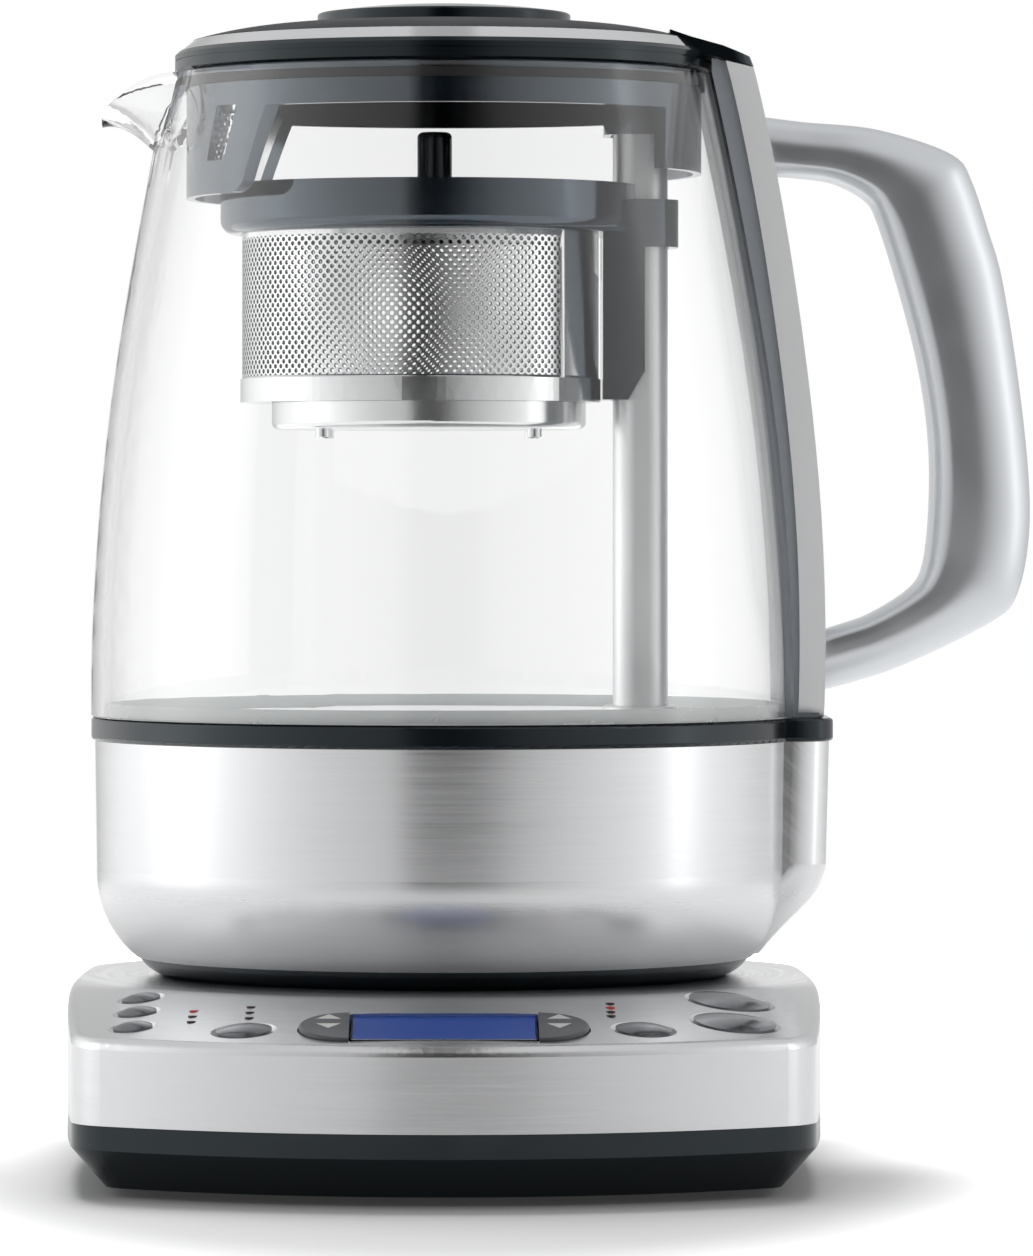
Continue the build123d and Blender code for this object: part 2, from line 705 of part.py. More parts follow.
with BuildPart() as tact_switches:
    for name, x, y, cap_r, bevel in buttons:
        top = stem_length(x, y) + button_travel + slip_gap
        with BuildSketch(panel_plane(x, y).offset(-top)):
            Circle(switch_r)
        extrude(amount=-switch_h - 1)
    split(bisect_by=Plane.XY.offset(board_top_z), keep=Keep.TOP)
    for side in (-1, 1):
        for end in (-1, 1):
            with BuildSketch(front_panel.offset(-frame_floor)):
                with Locations((side * switch_spot_x, end * rocker_switch_v)):
                    Circle(rocker_switch_r)
            extrude(amount=rocker_switch_h)

tact_switches.part.label = "tact_switches"
export_step(tact_switches.part, "parts/tact_switches.step")

module_t = frame_floor - window_t + window_rise - 2 * seat_gap
frame_top = cover_wall + 0.85
pin_axis = front_panel.offset(-rocker_pin_drop)

with BuildPart() as panel_frame:
    with BuildSketch(front_panel.offset(-frame_floor - frame_base_t)):
        add(display_outline(frame_margin))
    extrude(amount=frame_floor + frame_base_t - frame_top)
    with BuildSketch(front_panel.offset(-frame_floor)):
        add(display_outline(rocker_gap))
    extrude(amount=frame_floor, mode=Mode.SUBTRACT)
    # ears that carry the rockers' pins
    with BuildSketch(front_panel.offset(-frame_floor)):
        for side in (-1, 1):
            for reach in (0.2 + ear_t / 2, 0.2 + ear_reach - ear_t / 2):
                with Locations((side * (display_w / 2 + rocker_gap + reach), 0)):
                    Rectangle(ear_t, ear_w)
    extrude(amount=frame_floor - ear_top)
    with BuildSketch(Plane(origin=pin_axis.origin, x_dir=pin_axis.y_dir, z_dir=pin_axis.x_dir)):
        Circle(rocker_pin_r + 0.06)
    extrude(amount=rocker_x + rocker_reach, both=True, mode=Mode.SUBTRACT)

panel_frame.part.label = "panel_frame"
export_step(panel_frame.part, "parts/panel_frame.step")

with BuildPart() as display_window:
    with BuildSketch(front_panel.offset(window_rise - window_t)):
        Rectangle(display_w, display_h)
    extrude(amount=window_t)
    fillet(display_window.edges().filter_by(Axis.X).group_by(Axis.Z)[-1], 0.4)

display_window.part.label = "display_window"
export_step(display_window.part, "parts/display_window.step")

with BuildPart() as display_module:
    with BuildSketch(front_panel.offset(window_rise - window_t - seat_gap - module_t)):
        Rectangle(display_w - 0.8, display_h - 0.8)
    extrude(amount=module_t)

display_module.part.label = "display_module"
export_step(display_module.part, "parts/display_module.step")

for name, side in (("left_rocker", -1), ("right_rocker", 1)):
    root = side * (display_w / 2 + rocker_gap)
    with BuildPart() as rocker:
        with BuildSketch(front_panel.offset(rocker_rise - rocker_t)):
            with Locations((root, 0)):
                Ellipse(rocker_reach, display_h / 2)
                with Locations((-side * rocker_reach, 0)):
                    Rectangle(2 * rocker_reach, 2 * display_h, mode=Mode.SUBTRACT)
        extrude(amount=rocker_t)
        fillet(rocker.faces().sort_by(Axis.Z)[-1].edges().sort_by(SortBy.LENGTH)[-1], rocker_rise + 0.15)
        # web down to the pin, and nubs over the switches
        web_w = ear_reach - 2 * ear_t - 0.3
        with BuildSketch(front_panel.offset(-rocker_pin_drop)):
            with Locations((root + side * (0.2 + ear_reach / 2), 0)):
                Rectangle(web_w, 2.2)
        extrude(amount=rocker_pin_drop - rocker_t + 2 * rocker_rise)
        with BuildSketch(front_panel.offset(rocker_switch_h + 0.5 - frame_floor)):
            with Locations((side * switch_spot_x, -rocker_switch_v), (side * switch_spot_x, rocker_switch_v)):
                Circle(0.8)
        extrude(amount=frame_floor - rocker_switch_h - rocker_t)
        with BuildSketch(Plane(origin=pin_axis.from_local_coords((root + side * 0.2, 0, 0)),
                               x_dir=pin_axis.y_dir, z_dir=pin_axis.x_dir * side)):
            Circle(rocker_pin_r)
        extrude(amount=ear_reach)
    rocker.part.label = name
    export_step(rocker.part, f"parts/{name}.step")

for name, spots in (("lit_lamps", lit_lamps), ("dark_lamps", dark_lamps)):
    with BuildPart() as lamps:
        for x, y in spots:
            with BuildSketch(Plane.XY.offset(board_top_z + seat_gap)):
                with Locations((x, y)):
                    Circle(lamp_r)
            extrude(amount=panel_height(x, y) + 0.1 - board_top_z)
    lamps.part.label = name
    export_step(lamps.part, f"parts/{name}.step")


# ================================================================ boiler housing
def lobe_form(inset):
    """The lobe on the housing's side that carries the handle column."""
    low_z = housing_base_z + lobe_base_rise + inset
    root_x = housing_base_r / 2
    with BuildPart() as lobe:
        with BuildSketch(Plane.XZ):
            with BuildLine():
                belly = Spline((housing_base_r + 1.0 - inset, low_z),
                               (lobe_x - lobe_belly_in - inset, housing_base_z + lobe_belly_h),
                               (lobe_x - 0.7 - inset, housing_turn_z + 1.0),
                               tangents=[(0.62, 0.78), (0.1, 1)])
                Polyline(belly @ 1, (lobe_x - inset, housing_top_z), (root_x, housing_top_z), (root_x, low_z),
                         belly @ 0)
            make_face()
        extrude(amount=lobe_half_w - inset, both=True)
        corners = lobe.faces().sort_by(Axis.X)[-1].edges()
        uprights = corners.filter_by(lambda e: abs(e.center().Y) > lobe_half_w - inset - 1)
        fillet(uprights, lobe_corner_r - inset)
    return lobe.part


def housing_form(inset):
    """Closed form of the steel housing, lobe and all; an inset gives its hollow."""
    with BuildPart() as form:
        with BuildSketch(Plane.XZ):
            with BuildLine():
                turn = ThreePointArc((housing_base_r - inset, housing_base_z),
                                     (housing_r - 2.85 - inset, housing_base_z + 7.4),
                                     (housing_r - 0.4 - inset, housing_turn_z))
                Polyline(turn @ 1, (housing_r - inset, housing_top_z), (0, housing_top_z),
                         (0, housing_base_z), turn @ 0)
            make_face()
        revolve(axis=Axis.Z)
        add(lobe_form(inset))
    return form.part


with BuildPart() as jug_housing:
    add(housing_form(0))
    add(housing_form(housing_wall), mode=Mode.SUBTRACT)

jug_housing.part.label = "jug_housing"
export_step(jug_housing.part, "parts/jug_housing.step")

seal_r = glass_r - 0.4
floor_flange_r = seal_r - 3.5
floor_flange_z = trim_top_z - 2.0
ring_ledge_r = seal_r - ring_ledge_w
lobe_proud_x = lobe_x + trim_proud


def lobe_outline(x, half_w, corner_r):
    """Plan of the lobe: a rounded block from inside the round body out to x."""
    with BuildSketch() as outline:
        with Locations((3 * x / 4, 0)):
            RectangleRounded(x / 2, 2 * half_w, corner_r)
    return outline.sketch


with BuildPart() as trim_ring:
    with BuildSketch(Plane.XY.offset(trim_base_z)):
        Circle(housing_r + trim_proud)
        add(lobe_outline(lobe_proud_x, lobe_half_w + trim_proud, lobe_corner_r))
    extrude(amount=trim_h)
    for face in (trim_ring.faces().sort_by(Axis.Z)[0], trim_ring.faces().sort_by(Axis.Z)[-1]):
        fillet(face.edges(), trim_proud)
    with BuildSketch(Plane.XY.offset(floor_flange_z - seat_gap)):
        Circle(floor_flange_r + seat_gap)
    extrude(amount=trim_h, mode=Mode.SUBTRACT)
    with BuildSketch(Plane.XY.offset(housing_top_z)):
        Circle(ring_ledge_r)
    extrude(amount=2 * trim_h, mode=Mode.SUBTRACT)
    # skirt that centres the ring in the steel
    with BuildSketch(Plane.XY.offset(housing_top_z - trim_skirt_h)):
        Circle(housing_r - housing_wall - 2 * slip_gap)
        Circle(housing_r - housing_wall - 2 * slip_gap - trim_skirt_t, mode=Mode.SUBTRACT)
        with Locations((housing_r, 0)):
            Rectangle(2 * lobe_half_w, 2 * lobe_half_w + 2, mode=Mode.SUBTRACT)
    extrude(amount=trim_skirt_h + 2 * seat_gap)

trim_ring.part.label = "trim_ring"
export_step(trim_ring.part, "parts/trim_ring.step")


# ================================================================ glass
def vessel(inset):
    """The glass's round body as a solid; an inset gives the space inside the wall."""
    with BuildPart() as form:
        with BuildSketch(Plane.XZ):
            with BuildLine():
                side = Spline(*[(r - inset, z) for r, z in glass_stations])
                Polyline(side @ 1, (0, glass_mouth_z), (0, glass_base_z), side @ 0)
            make_face()
        revolve(axis=Axis.Z)
    return form.part


def spout_horn(inset):
    """The spout as a closed horn; an inset gives the channel inside it, open at the tip."""
    with BuildPart() as horn:
        for x, underside, centre, half_w in spout_sections:
            past_tip = -3.0 if inset and x == spout_sections[-1][0] else 0.0
            with BuildSketch(Plane(origin=(x + past_tip, 0, centre), x_dir=(0, 1, 0), z_dir=(-1, 0, 0))):
                Ellipse(half_w - inset, centre - underside - inset)
        loft()
        if not inset:
            # everything above the lip's edge is open
            with BuildSketch(Plane.XZ):
                with BuildLine():
                    edge = ThreePointArc(*spout_lip)
                    Polyline(edge @ 1, (spout_lip[-1][0] - 10, spout_lip[-1][1] - 3),
                             (spout_lip[-1][0] - 10, beyond), (-mouth_r / 2, beyond),
                             (-mouth_r / 2, glass_mouth_z), edge @ 0)
                make_face()
            extrude(amount=mouth_r, both=True, mode=Mode.SUBTRACT)
    return horn.part


with BuildPart() as glass_jug:
    add(vessel(0))
    add(spout_horn(0))
    add(vessel(glass_wall), mode=Mode.SUBTRACT)
    add(spout_horn(glass_wall - 0.4), mode=Mode.SUBTRACT)

glass_jug.part.label = "glass_jug"
export_step(glass_jug.part, "parts/glass_jug.step")

seal_foot_z = floor_flange_z + floor_t + seat_gap
glass_seal_profile = [
    (ring_ledge_r, seal_foot_z), (floor_flange_r, seal_foot_z),
    (floor_flange_r, trim_top_z + seat_gap), (seal_r, trim_top_z + seat_gap),
    (seal_r, glass_base_z - seat_gap), (glass_r - glass_wall - 0.1, glass_base_z - seat_gap),
    (glass_r - glass_wall - 0.1, glass_base_z + seal_lip_h),
    (floor_flange_r, glass_base_z + seal_lip_h), (floor_flange_r, glass_base_z),
    (ring_ledge_r, glass_base_z)]
with BuildPart() as glass_seal:
    add(turned(glass_seal_profile))

glass_seal.part.label = "glass_seal"
export_step(glass_seal.part, "parts/glass_seal.step")


def post_outline(margin):
    """Section of the lift post, widened by a margin."""
    with BuildSketch() as outline:
        with Locations((post_x, 0)):
            RectangleRounded(2 * (post_half_x + margin), 2 * (post_half_y + margin), post_corner_r + margin)
    return outline.sketch


with BuildPart() as heating_plate:
    add(turned([(0, floor_top - floor_t), (floor_r - 1, floor_top - floor_t),
                  (floor_r + 1, floor_flange_z), (floor_flange_r, floor_flange_z),
                  (floor_flange_r, floor_flange_z + floor_t), (floor_r + 1.6, floor_flange_z + floor_t),
                  (floor_r - 0.4, floor_top), (0, floor_top)]))
    with BuildSketch(Plane.XY.offset(floor_flange_z)):
        add(post_outline(post_seal_t + seat_gap))
    extrude(amount=5 * floor_t, mode=Mode.SUBTRACT)

heating_plate.part.label = "heating_plate"
export_step(heating_plate.part, "parts/heating_plate.step")

# Tube element brazed under the floor, open towards the post.
element_z = floor_top - floor_t - element_tube_r - seat_gap
with BuildPart() as heating_element:
    with BuildSketch(Plane.XZ.rotated((0, 0, element_gap_angle / 2))):
        with Locations((element_ring_r, element_z)):
            Circle(element_tube_r)
    revolve(axis=Axis.Z, revolution_arc=360 - element_gap_angle)
    with BuildSketch(Plane.XY.offset(element_z - element_tube_r - element_leg)):
        for end in (-1, 1):
            with Locations((element_ring_r * cos(radians(element_gap_angle / 2 + 2.5)),
                            end * element_ring_r * sin(radians(element_gap_angle / 2 + 2.5)))):
                Circle(1.6)
    extrude(amount=element_leg + element_tube_r)

heating_element.part.label = "heating_element"
export_step(heating_element.part, "parts/heating_element.step")

with BuildPart() as temperature_sensor:
    with BuildSketch(Plane.XY.offset(floor_top - floor_t - seat_gap - 9)):
        with Locations(sensor_spot):
            Circle(3.0)
            Circle(1.2, mode=Mode.SUBTRACT)
    extrude(amount=9)
    with BuildSketch(Plane.XY.offset(floor_top - floor_t - seat_gap - 2)):
        with Locations(sensor_spot):
            Circle(5.5)
    extrude(amount=2)

temperature_sensor.part.label = "temperature_sensor"
export_step(temperature_sensor.part, "parts/temperature_sensor.step")

# ---------------------------------------------------------------- underside of the jug
collar_r_out = housing_base_r - housing_wall - 2 * slip_gap
foot_top_z = housing_base_z - seat_gap
foot_floor_top = base_top_z + jug_foot_floor
socket_hole_r = connector_land_r + 1.5
with BuildPart() as jug_foot:
    with BuildSketch(Plane.XZ):
        with BuildLine():
            side = ThreePointArc((foot_base_r, base_top_z + seat_gap),
                                 (housing_base_r - 2.3, base_top_z + 1.9),
                                 (housing_base_r - 0.6, foot_top_z))
            Polyline(side @ 1, (collar_r_out, foot_top_z), (collar_r_out, foot_top_z + foot_collar_h),
                     (collar_r_out - foot_collar_t, foot_top_z + foot_collar_h),
                     (collar_r_out - foot_collar_t, foot_floor_top), (socket_hole_r, foot_floor_top),
                     (socket_hole_r, base_top_z + seat_gap), side @ 0)
        make_face()
    revolve(axis=Axis.Z)

jug_foot.part.label = "jug_foot"
export_step(jug_foot.part, "parts/jug_foot.step")

socket_bore_r = connector_r + socket_gap
socket_top_z = base_top_z + socket_depth
socket_screw_spots_r = socket_flange_r - 3.0
with BuildPart() as jug_socket:
    add(turned([(socket_bore_r, base_top_z + 1.0), (socket_hole_r - 0.4, base_top_z + 1.0),
                (socket_hole_r - 0.4, foot_floor_top + seat_gap),
                (socket_flange_r, foot_floor_top + seat_gap), (socket_flange_r, foot_floor_top + 2),
                (socket_bore_r + socket_wall, foot_floor_top + 2),
                (socket_bore_r + socket_wall, socket_top_z + socket_wall), (0, socket_top_z + socket_wall),
                (0, socket_top_z), (socket_bore_r, socket_top_z)]))
    with Locations((0, 0, foot_floor_top + 2)):
        with PolarLocations(socket_screw_spots_r, 3):
            Hole(socket_screw_r + 0.1, depth=4)

jug_socket.part.label = "jug_socket"
export_step(jug_socket.part, "parts/jug_socket.step")

# ================================================================ handle column
def column_form(inset, half_w, depth):
    """The upright behind the handle: outer face shifted in by an inset, open-ended."""
    with BuildPart() as form:
        with BuildSketch(Plane.XZ):
            with BuildLine():
                outer = Spline(*[(x - inset, z) for x, z in column_stations])
                inner = Spline(*[(x - depth, z) for x, z in column_stations])
                Line(outer @ 0, inner @ 0)
                Line(outer @ 1, inner @ 1)
            make_face()
        extrude(amount=half_w, both=True)
    return form.part


# The lid's tail lies on the column's slanted top.
tail_end, tail_root = tail_outline[4:6]


def tail_slant(gap):
    """A block over the tail's underside, lowered by a gap, for cutting what lies below it."""
    with BuildPart() as block:
        with BuildSketch(Plane.XZ):
            with BuildLine():
                slope = (tail_end[1] - tail_root[1]) / (tail_end[0] - tail_root[0])
                near, far = lid_r / 2, 2 * lid_r
                low = [(x, tail_root[1] + slope * (x - tail_root[0]) - gap) for x in (near, far)]
                Polyline(low[0], low[1], (far, beyond), (near, beyond), close=True)
            make_face()
        extrude(amount=lid_r, both=True)
    return block.part


handle_screw_planes = [
    Plane(origin=(glass_r + reach, 0, glass_base_z + share * glass_h), x_dir=(0, 1, 0), z_dir=(1, 0, lean))
    for share, reach, lean in handle_screw_table]

with BuildPart() as column_cover:
    add(column_form(0, column_half_w, column_depth))
    face_edges = column_cover.faces().sort_by(Axis.X)[-1].edges()
    fillet(face_edges.filter_by(lambda e: abs(e.center().Y) > column_half_w - 1), column_corner_r)
    add(column_form(column_wall, column_half_w - column_wall, column_depth + 1), mode=Mode.SUBTRACT)
    add(tail_slant(moving_gap), mode=Mode.SUBTRACT)
    for screw_plane in handle_screw_planes:
        with BuildSketch(screw_plane):
            Circle(handle_screw_r + slip_gap)
        extrude(amount=2 * column_depth, both=True, mode=Mode.SUBTRACT)

column_cover.part.label = "column_cover"
export_step(column_cover.part, "parts/column_cover.step")

with BuildPart() as column_spine:
    add(column_form(column_wall + 0.1, spine_half_w, spine_depth))
    add(vessel(-0.35), mode=Mode.SUBTRACT)
    with BuildSketch(Plane.XY.offset(glass_base_z - 2)):
        Circle(glass_r + 0.35)
    extrude(amount=3, mode=Mode.SUBTRACT)
    with BuildSketch(Plane.XY.offset(glass_mouth_z - 1)):
        Circle(mouth_r + 0.35)
    extrude(amount=20, mode=Mode.SUBTRACT)
    add(tail_slant(moving_gap), mode=Mode.SUBTRACT)
    with BuildSketch(Plane.XY.offset(trim_top_z + seat_gap)):
        Rectangle(beyond, beyond)
    extrude(amount=-10, mode=Mode.SUBTRACT)
    # room for the heads of the handle's screws
    for screw_plane in handle_screw_planes:
        with BuildSketch(screw_plane):
            Circle(handle_screw_head_r + 0.4)
        extrude(amount=-column_wall - 2.4, mode=Mode.SUBTRACT)

column_spine.part.label = "column_spine"
export_step(column_spine.part, "parts/column_spine.step")

# ---------------------------------------------------------------- handle
with BuildPart() as handle:
    with BuildSketch(Plane.XZ):
        with BuildLine():
            outer = Spline(*handle_outer)
            inner = Spline(*handle_inner)
            Line(outer @ 0, inner @ 0)
            Line(outer @ 1, inner @ 1)
        make_face()
    extrude(amount=handle_half_w, both=True)
    fillet([edge for edge in handle.edges() if edge.length > glass_h / 2], handle_round)
    add(column_form(-seat_gap, column_half_w, 2 * spine_depth), mode=Mode.SUBTRACT)
    for screw_plane in handle_screw_planes:
        with BuildSketch(screw_plane):
            Circle(handle_screw_r + seat_gap)
        extrude(amount=handle_screw_l + 0.5, mode=Mode.SUBTRACT)

handle.part.label = "handle"
export_step(handle.part, "parts/handle.step")

with BuildPart() as jug_screws:
    # three hold the socket to the foot
    with BuildSketch(Plane.XY.offset(foot_floor_top + 2 + seat_gap)):
        with PolarLocations(socket_screw_spots_r, 3):
            Circle(socket_screw_r + 0.9)
    extrude(amount=1.5)
    with BuildSketch(Plane.XY.offset(foot_floor_top + 0.1)):
        with PolarLocations(socket_screw_spots_r, 3):
            Circle(socket_screw_r)
    extrude(amount=2 + 2 * seat_gap)
    # two hold the handle from inside the column
    for screw_plane in handle_screw_planes:
        with BuildSketch(screw_plane.offset(-column_wall - 0.3)):
            Circle(handle_screw_head_r)
        extrude(amount=-handle_screw_head_h)
        with BuildSketch(screw_plane.offset(-column_wall - 0.4)):
            Circle(handle_screw_r)
        extrude(amount=column_wall + handle_screw_l)

jug_screws.part.label = "jug_screws"
export_step(jug_screws.part, "parts/jug_screws.step")


# ================================================================ lift post and drive
def block(x0, x1, half_y, z0, z1):
    """A box from x0 to x1 and z0 to z1, centred on y = 0."""
    with BuildPart() as form:
        with BuildSketch(Plane.XY.offset(z0)):
            with Locations(((x0 + x1) / 2, 0)):
                Rectangle(x1 - x0, 2 * half_y)
        extrude(amount=z1 - z0)
    return form.part


def rod(x0, x1, z, radius):
    """A round bar along X from x0 to x1 at height z."""
    with BuildPart() as form:
        with BuildSketch(Plane.YZ.offset(x0)):
            with Locations((0, z)):
                Circle(radius)
        extrude(amount=x1 - x0)
    return form.part


def belt_loop(radius):
    """Outline of the belt's path round the two pulleys, in the YZ plane."""
    with BuildSketch() as outline:
        with Locations((0, (drive_z + idler_z) / 2)):
            SlotCenterToCenter(idler_z - drive_z, 2 * radius, rotation=90)
    return outline.sketch


with BuildPart() as lift_post:
    with BuildSketch(Plane.XY.offset(post_tail_z)):
        add(post_outline(0))
    extrude(amount=post_top_z - post_tail_z)
    fillet(lift_post.faces().sort_by(Axis.Z)[-1].edges(), 2.0)
    with BuildSketch(Plane.XY.offset(post_tail_z)):
        add(post_outline(-post_wall))
    extrude(amount=post_top_z - post_wall - post_tail_z, mode=Mode.SUBTRACT)
    # bosses for the idler's axle
    axle_reach = post_half_x - post_wall / 2
    boss_start = pulley_half_w + pulley_flange_t + 0.3
    add(rod(post_x - axle_reach, post_x - boss_start, idler_z, 2.2))
    add(rod(post_x + boss_start, post_x + axle_reach, idler_z, 2.2))
    add(rod(post_x - axle_reach, post_x + axle_reach, idler_z, pulley_bore_r + seat_gap),
        mode=Mode.SUBTRACT)

lift_post.part.label = "lift_post"
export_step(lift_post.part, "parts/lift_post.step")

with BuildPart() as post_foot:
    with BuildSketch(Plane.XY.offset(floor_top + seat_gap)):
        add(post_outline(post_foot_rim))
        add(post_outline(seat_gap), mode=Mode.SUBTRACT)
    extrude(amount=post_foot_t)
    fillet(post_foot.faces().sort_by(Axis.Z)[-1].outer_wire().edges(), 0.8)

post_foot.part.label = "post_foot"
export_step(post_foot.part, "parts/post_foot.step")

with BuildPart() as post_seal:
    with BuildSketch(Plane.XY.offset(floor_top - floor_t - 1.5)):
        add(post_outline(post_seal_t + 1.5))
    extrude(amount=1.5 - seat_gap)
    with BuildSketch(Plane.XY.offset(floor_top - floor_t - 1.5)):
        add(post_outline(post_seal_t))
    extrude(amount=floor_t + 1.5)
    with BuildSketch(Plane.XY.offset(floor_top - floor_t - 1.5)):
        add(post_outline(seat_gap))
    extrude(amount=floor_t + 1.5, mode=Mode.SUBTRACT)

post_seal.part.label = "post_seal"
export_step(post_seal.part, "parts/post_seal.step")

belt_r = pulley_r + seat_gap
with BuildPart() as lift_belt:
    with BuildSketch(Plane.YZ.offset(post_x - pulley_half_w + 0.1)):
        add(belt_loop(belt_r + belt_t))
        add(belt_loop(belt_r), mode=Mode.SUBTRACT)
    extrude(amount=2 * pulley_half_w - 0.2)

lift_belt.part.label = "lift_belt"
export_step(lift_belt.part, "parts/lift_belt.step")


def pulley_form(z):
    """A belt pulley: a drum with a flange at each side."""
    with BuildPart() as form:
        add(rod(post_x - pulley_half_w, post_x + pulley_half_w, z, pulley_r))
        add(rod(post_x - pulley_half_w - pulley_flange_t, post_x - pulley_half_w, z, pulley_flange_r))
        add(rod(post_x + pulley_half_w, post_x + pulley_half_w + pulley_flange_t, z, pulley_flange_r))
    return form.part


gearbox_front_x = post_x - gearbox_gap
gearbox_back_x = gearbox_front_x - gearbox_length
with BuildPart() as drive_pulley:
    add(pulley_form(drive_z))
    add(rod(gearbox_front_x - shaft_length, post_x, drive_z, shaft_r))

drive_pulley.part.label = "drive_pulley"
export_step(drive_pulley.part, "parts/drive_pulley.step")

with BuildPart() as idler_pulley:
    add(pulley_form(idler_z))
    add(rod(post_x - 5, post_x + 5, idler_z, pulley_bore_r + seat_gap), mode=Mode.SUBTRACT)

idler_pulley.part.label = "idler_pulley"
export_step(idler_pulley.part, "parts/idler_pulley.step")

with BuildPart() as idler_axle:
    axle_reach = post_half_x - post_wall / 2 - seat_gap
    add(rod(post_x - axle_reach, post_x + axle_reach, idler_z, pulley_bore_r))

idler_axle.part.label = "idler_axle"
export_step(idler_axle.part, "parts/idler_axle.step")

with BuildPart() as lift_motor:
    add(rod(gearbox_back_x - motor_length, gearbox_back_x, drive_z, motor_r))
    add(rod(gearbox_back_x - 1, gearbox_front_x, drive_z, motor_r - 0.6))
    add(rod(gearbox_back_x - motor_length - 2, gearbox_back_x - motor_length + 1, drive_z, 2.5))
    add(rod(gearbox_front_x - shaft_length - 0.5, gearbox_front_x + 1, drive_z, shaft_r + 0.06),
        mode=Mode.SUBTRACT)

lift_motor.part.label = "lift_motor"
export_step(lift_motor.part, "parts/lift_motor.step")

bracket_x0 = socket_flange_r + bracket_clear
bracket_x1 = bracket_x0 + bracket_w
with BuildPart() as motor_bracket:
    add(block(bracket_x0 - 0.6, bracket_x1 + bracket_toe, motor_r + 3, foot_floor_top + seat_gap,
              foot_floor_top + 2))
    add(block(bracket_x0, bracket_x1, motor_r - 3, foot_floor_top + 1, drive_z - 3))
    add(rod(bracket_x0, bracket_x1, drive_z, motor_r + bracket_wall))
    add(block(bracket_x0, bracket_x1, 2 * motor_r, drive_z + 1, drive_z + 2 * motor_r), mode=Mode.SUBTRACT)
    add(rod(bracket_x0, bracket_x1, drive_z, motor_r + seat_gap), mode=Mode.SUBTRACT)

motor_bracket.part.label = "motor_bracket"
export_step(motor_bracket.part, "parts/motor_bracket.step")

# The carriage runs up and down inside the post, clamped to one side of the belt.
carriage_z = magnet_z0 + magnet_h / 2
carriage_front_x = post_x - carriage_half_x
belt_gap = 0.1
with BuildPart() as carriage:
    add(block(carriage_front_x, post_x + carriage_half_x, carriage_half_y, carriage_z - carriage_h / 2,
              carriage_z + carriage_h / 2))
    with BuildSketch(Plane.XY.offset(carriage_z - 4)):
        with Locations((post_x + 0.4, (carriage_half_y + carriage_arm_y) / 2 - 0.2)):
            Rectangle(4.6, carriage_arm_y - carriage_half_y + 0.4)
        with Locations((post_x - 1.0, belt_r + belt_t / 2)):
            Rectangle(2 * pulley_half_w + 2.2, belt_t + 2 * belt_gap, mode=Mode.SUBTRACT)
    extrude(amount=8)
    add(block(carriage_front_x, carriage_front_x + magnet_t + seat_gap, 2.8, magnet_z0 - seat_gap,
              magnet_z0 + magnet_h + seat_gap), mode=Mode.SUBTRACT)

carriage.part.label = "carriage"
export_step(carriage.part, "parts/carriage.step")

with BuildPart() as carriage_magnet:
    add(block(carriage_front_x, carriage_front_x + magnet_t, 2.75, magnet_z0, magnet_z0 + magnet_h))

carriage_magnet.part.label = "carriage_magnet"
export_step(carriage_magnet.part, "parts/carriage_magnet.step")


# ================================================================ lid
tail_root_x = tail_outline[0][0]
rim_bore_r = skirt_r + slip_gap
rim_groove_z = lid_base_z + rim_groove_h

with BuildPart() as lid_rim:
    add(turned([(rim_bore_r, lid_base_z), (lid_r - 0.6, lid_base_z), (lid_r, lid_base_z + 0.6),
                (lid_r, rim_groove_z), (lid_r - rim_groove_w, rim_groove_z),
                (lid_r - rim_groove_w, rim_groove_z + rim_groove_w), (lid_r, rim_groove_z + rim_groove_w),
                (lid_r, lid_seam_z - 0.8), (lid_r - 0.8, lid_seam_z), (rim_bore_r, lid_seam_z)]))
    with BuildSketch(Plane.XZ):
        with BuildLine():
            Polyline(*tail_outline, close=True)
        make_face()
    extrude(amount=tail_half_w, both=True)
    tip_corners = lid_rim.edges().filter_by(lambda e: abs(e.center().X - tail_outline[3][0]) < 1.2
                                            and abs(abs(e.center().Y) - tail_half_w) < 0.1)
    fillet(tip_corners, tail_tip_r)

lid_rim.part.label = "lid_rim"
export_step(lid_rim.part, "parts/lid_rim.step")

tail_notch = block(tail_root_x - seat_gap, lid_r + 5, tail_half_w + seat_gap, lid_base_z, knob_top_z)
band_seat_r = lid_band_top_r - lid_wall

with BuildPart() as lid_trim_band:
    add(turned([(lid_band_r, lid_seam_z + seat_gap), (lid_band_top_r, lid_band_top_z),
                (band_seat_r, lid_band_top_z), (band_seat_r, lid_band_top_z - 1.0),
                (lid_band_r - lid_wall, lid_seam_z + seat_gap)]))
    add(tail_notch, mode=Mode.SUBTRACT)

lid_trim_band.part.label = "lid_trim_band"
export_step(lid_trim_band.part, "parts/lid_trim_band.step")

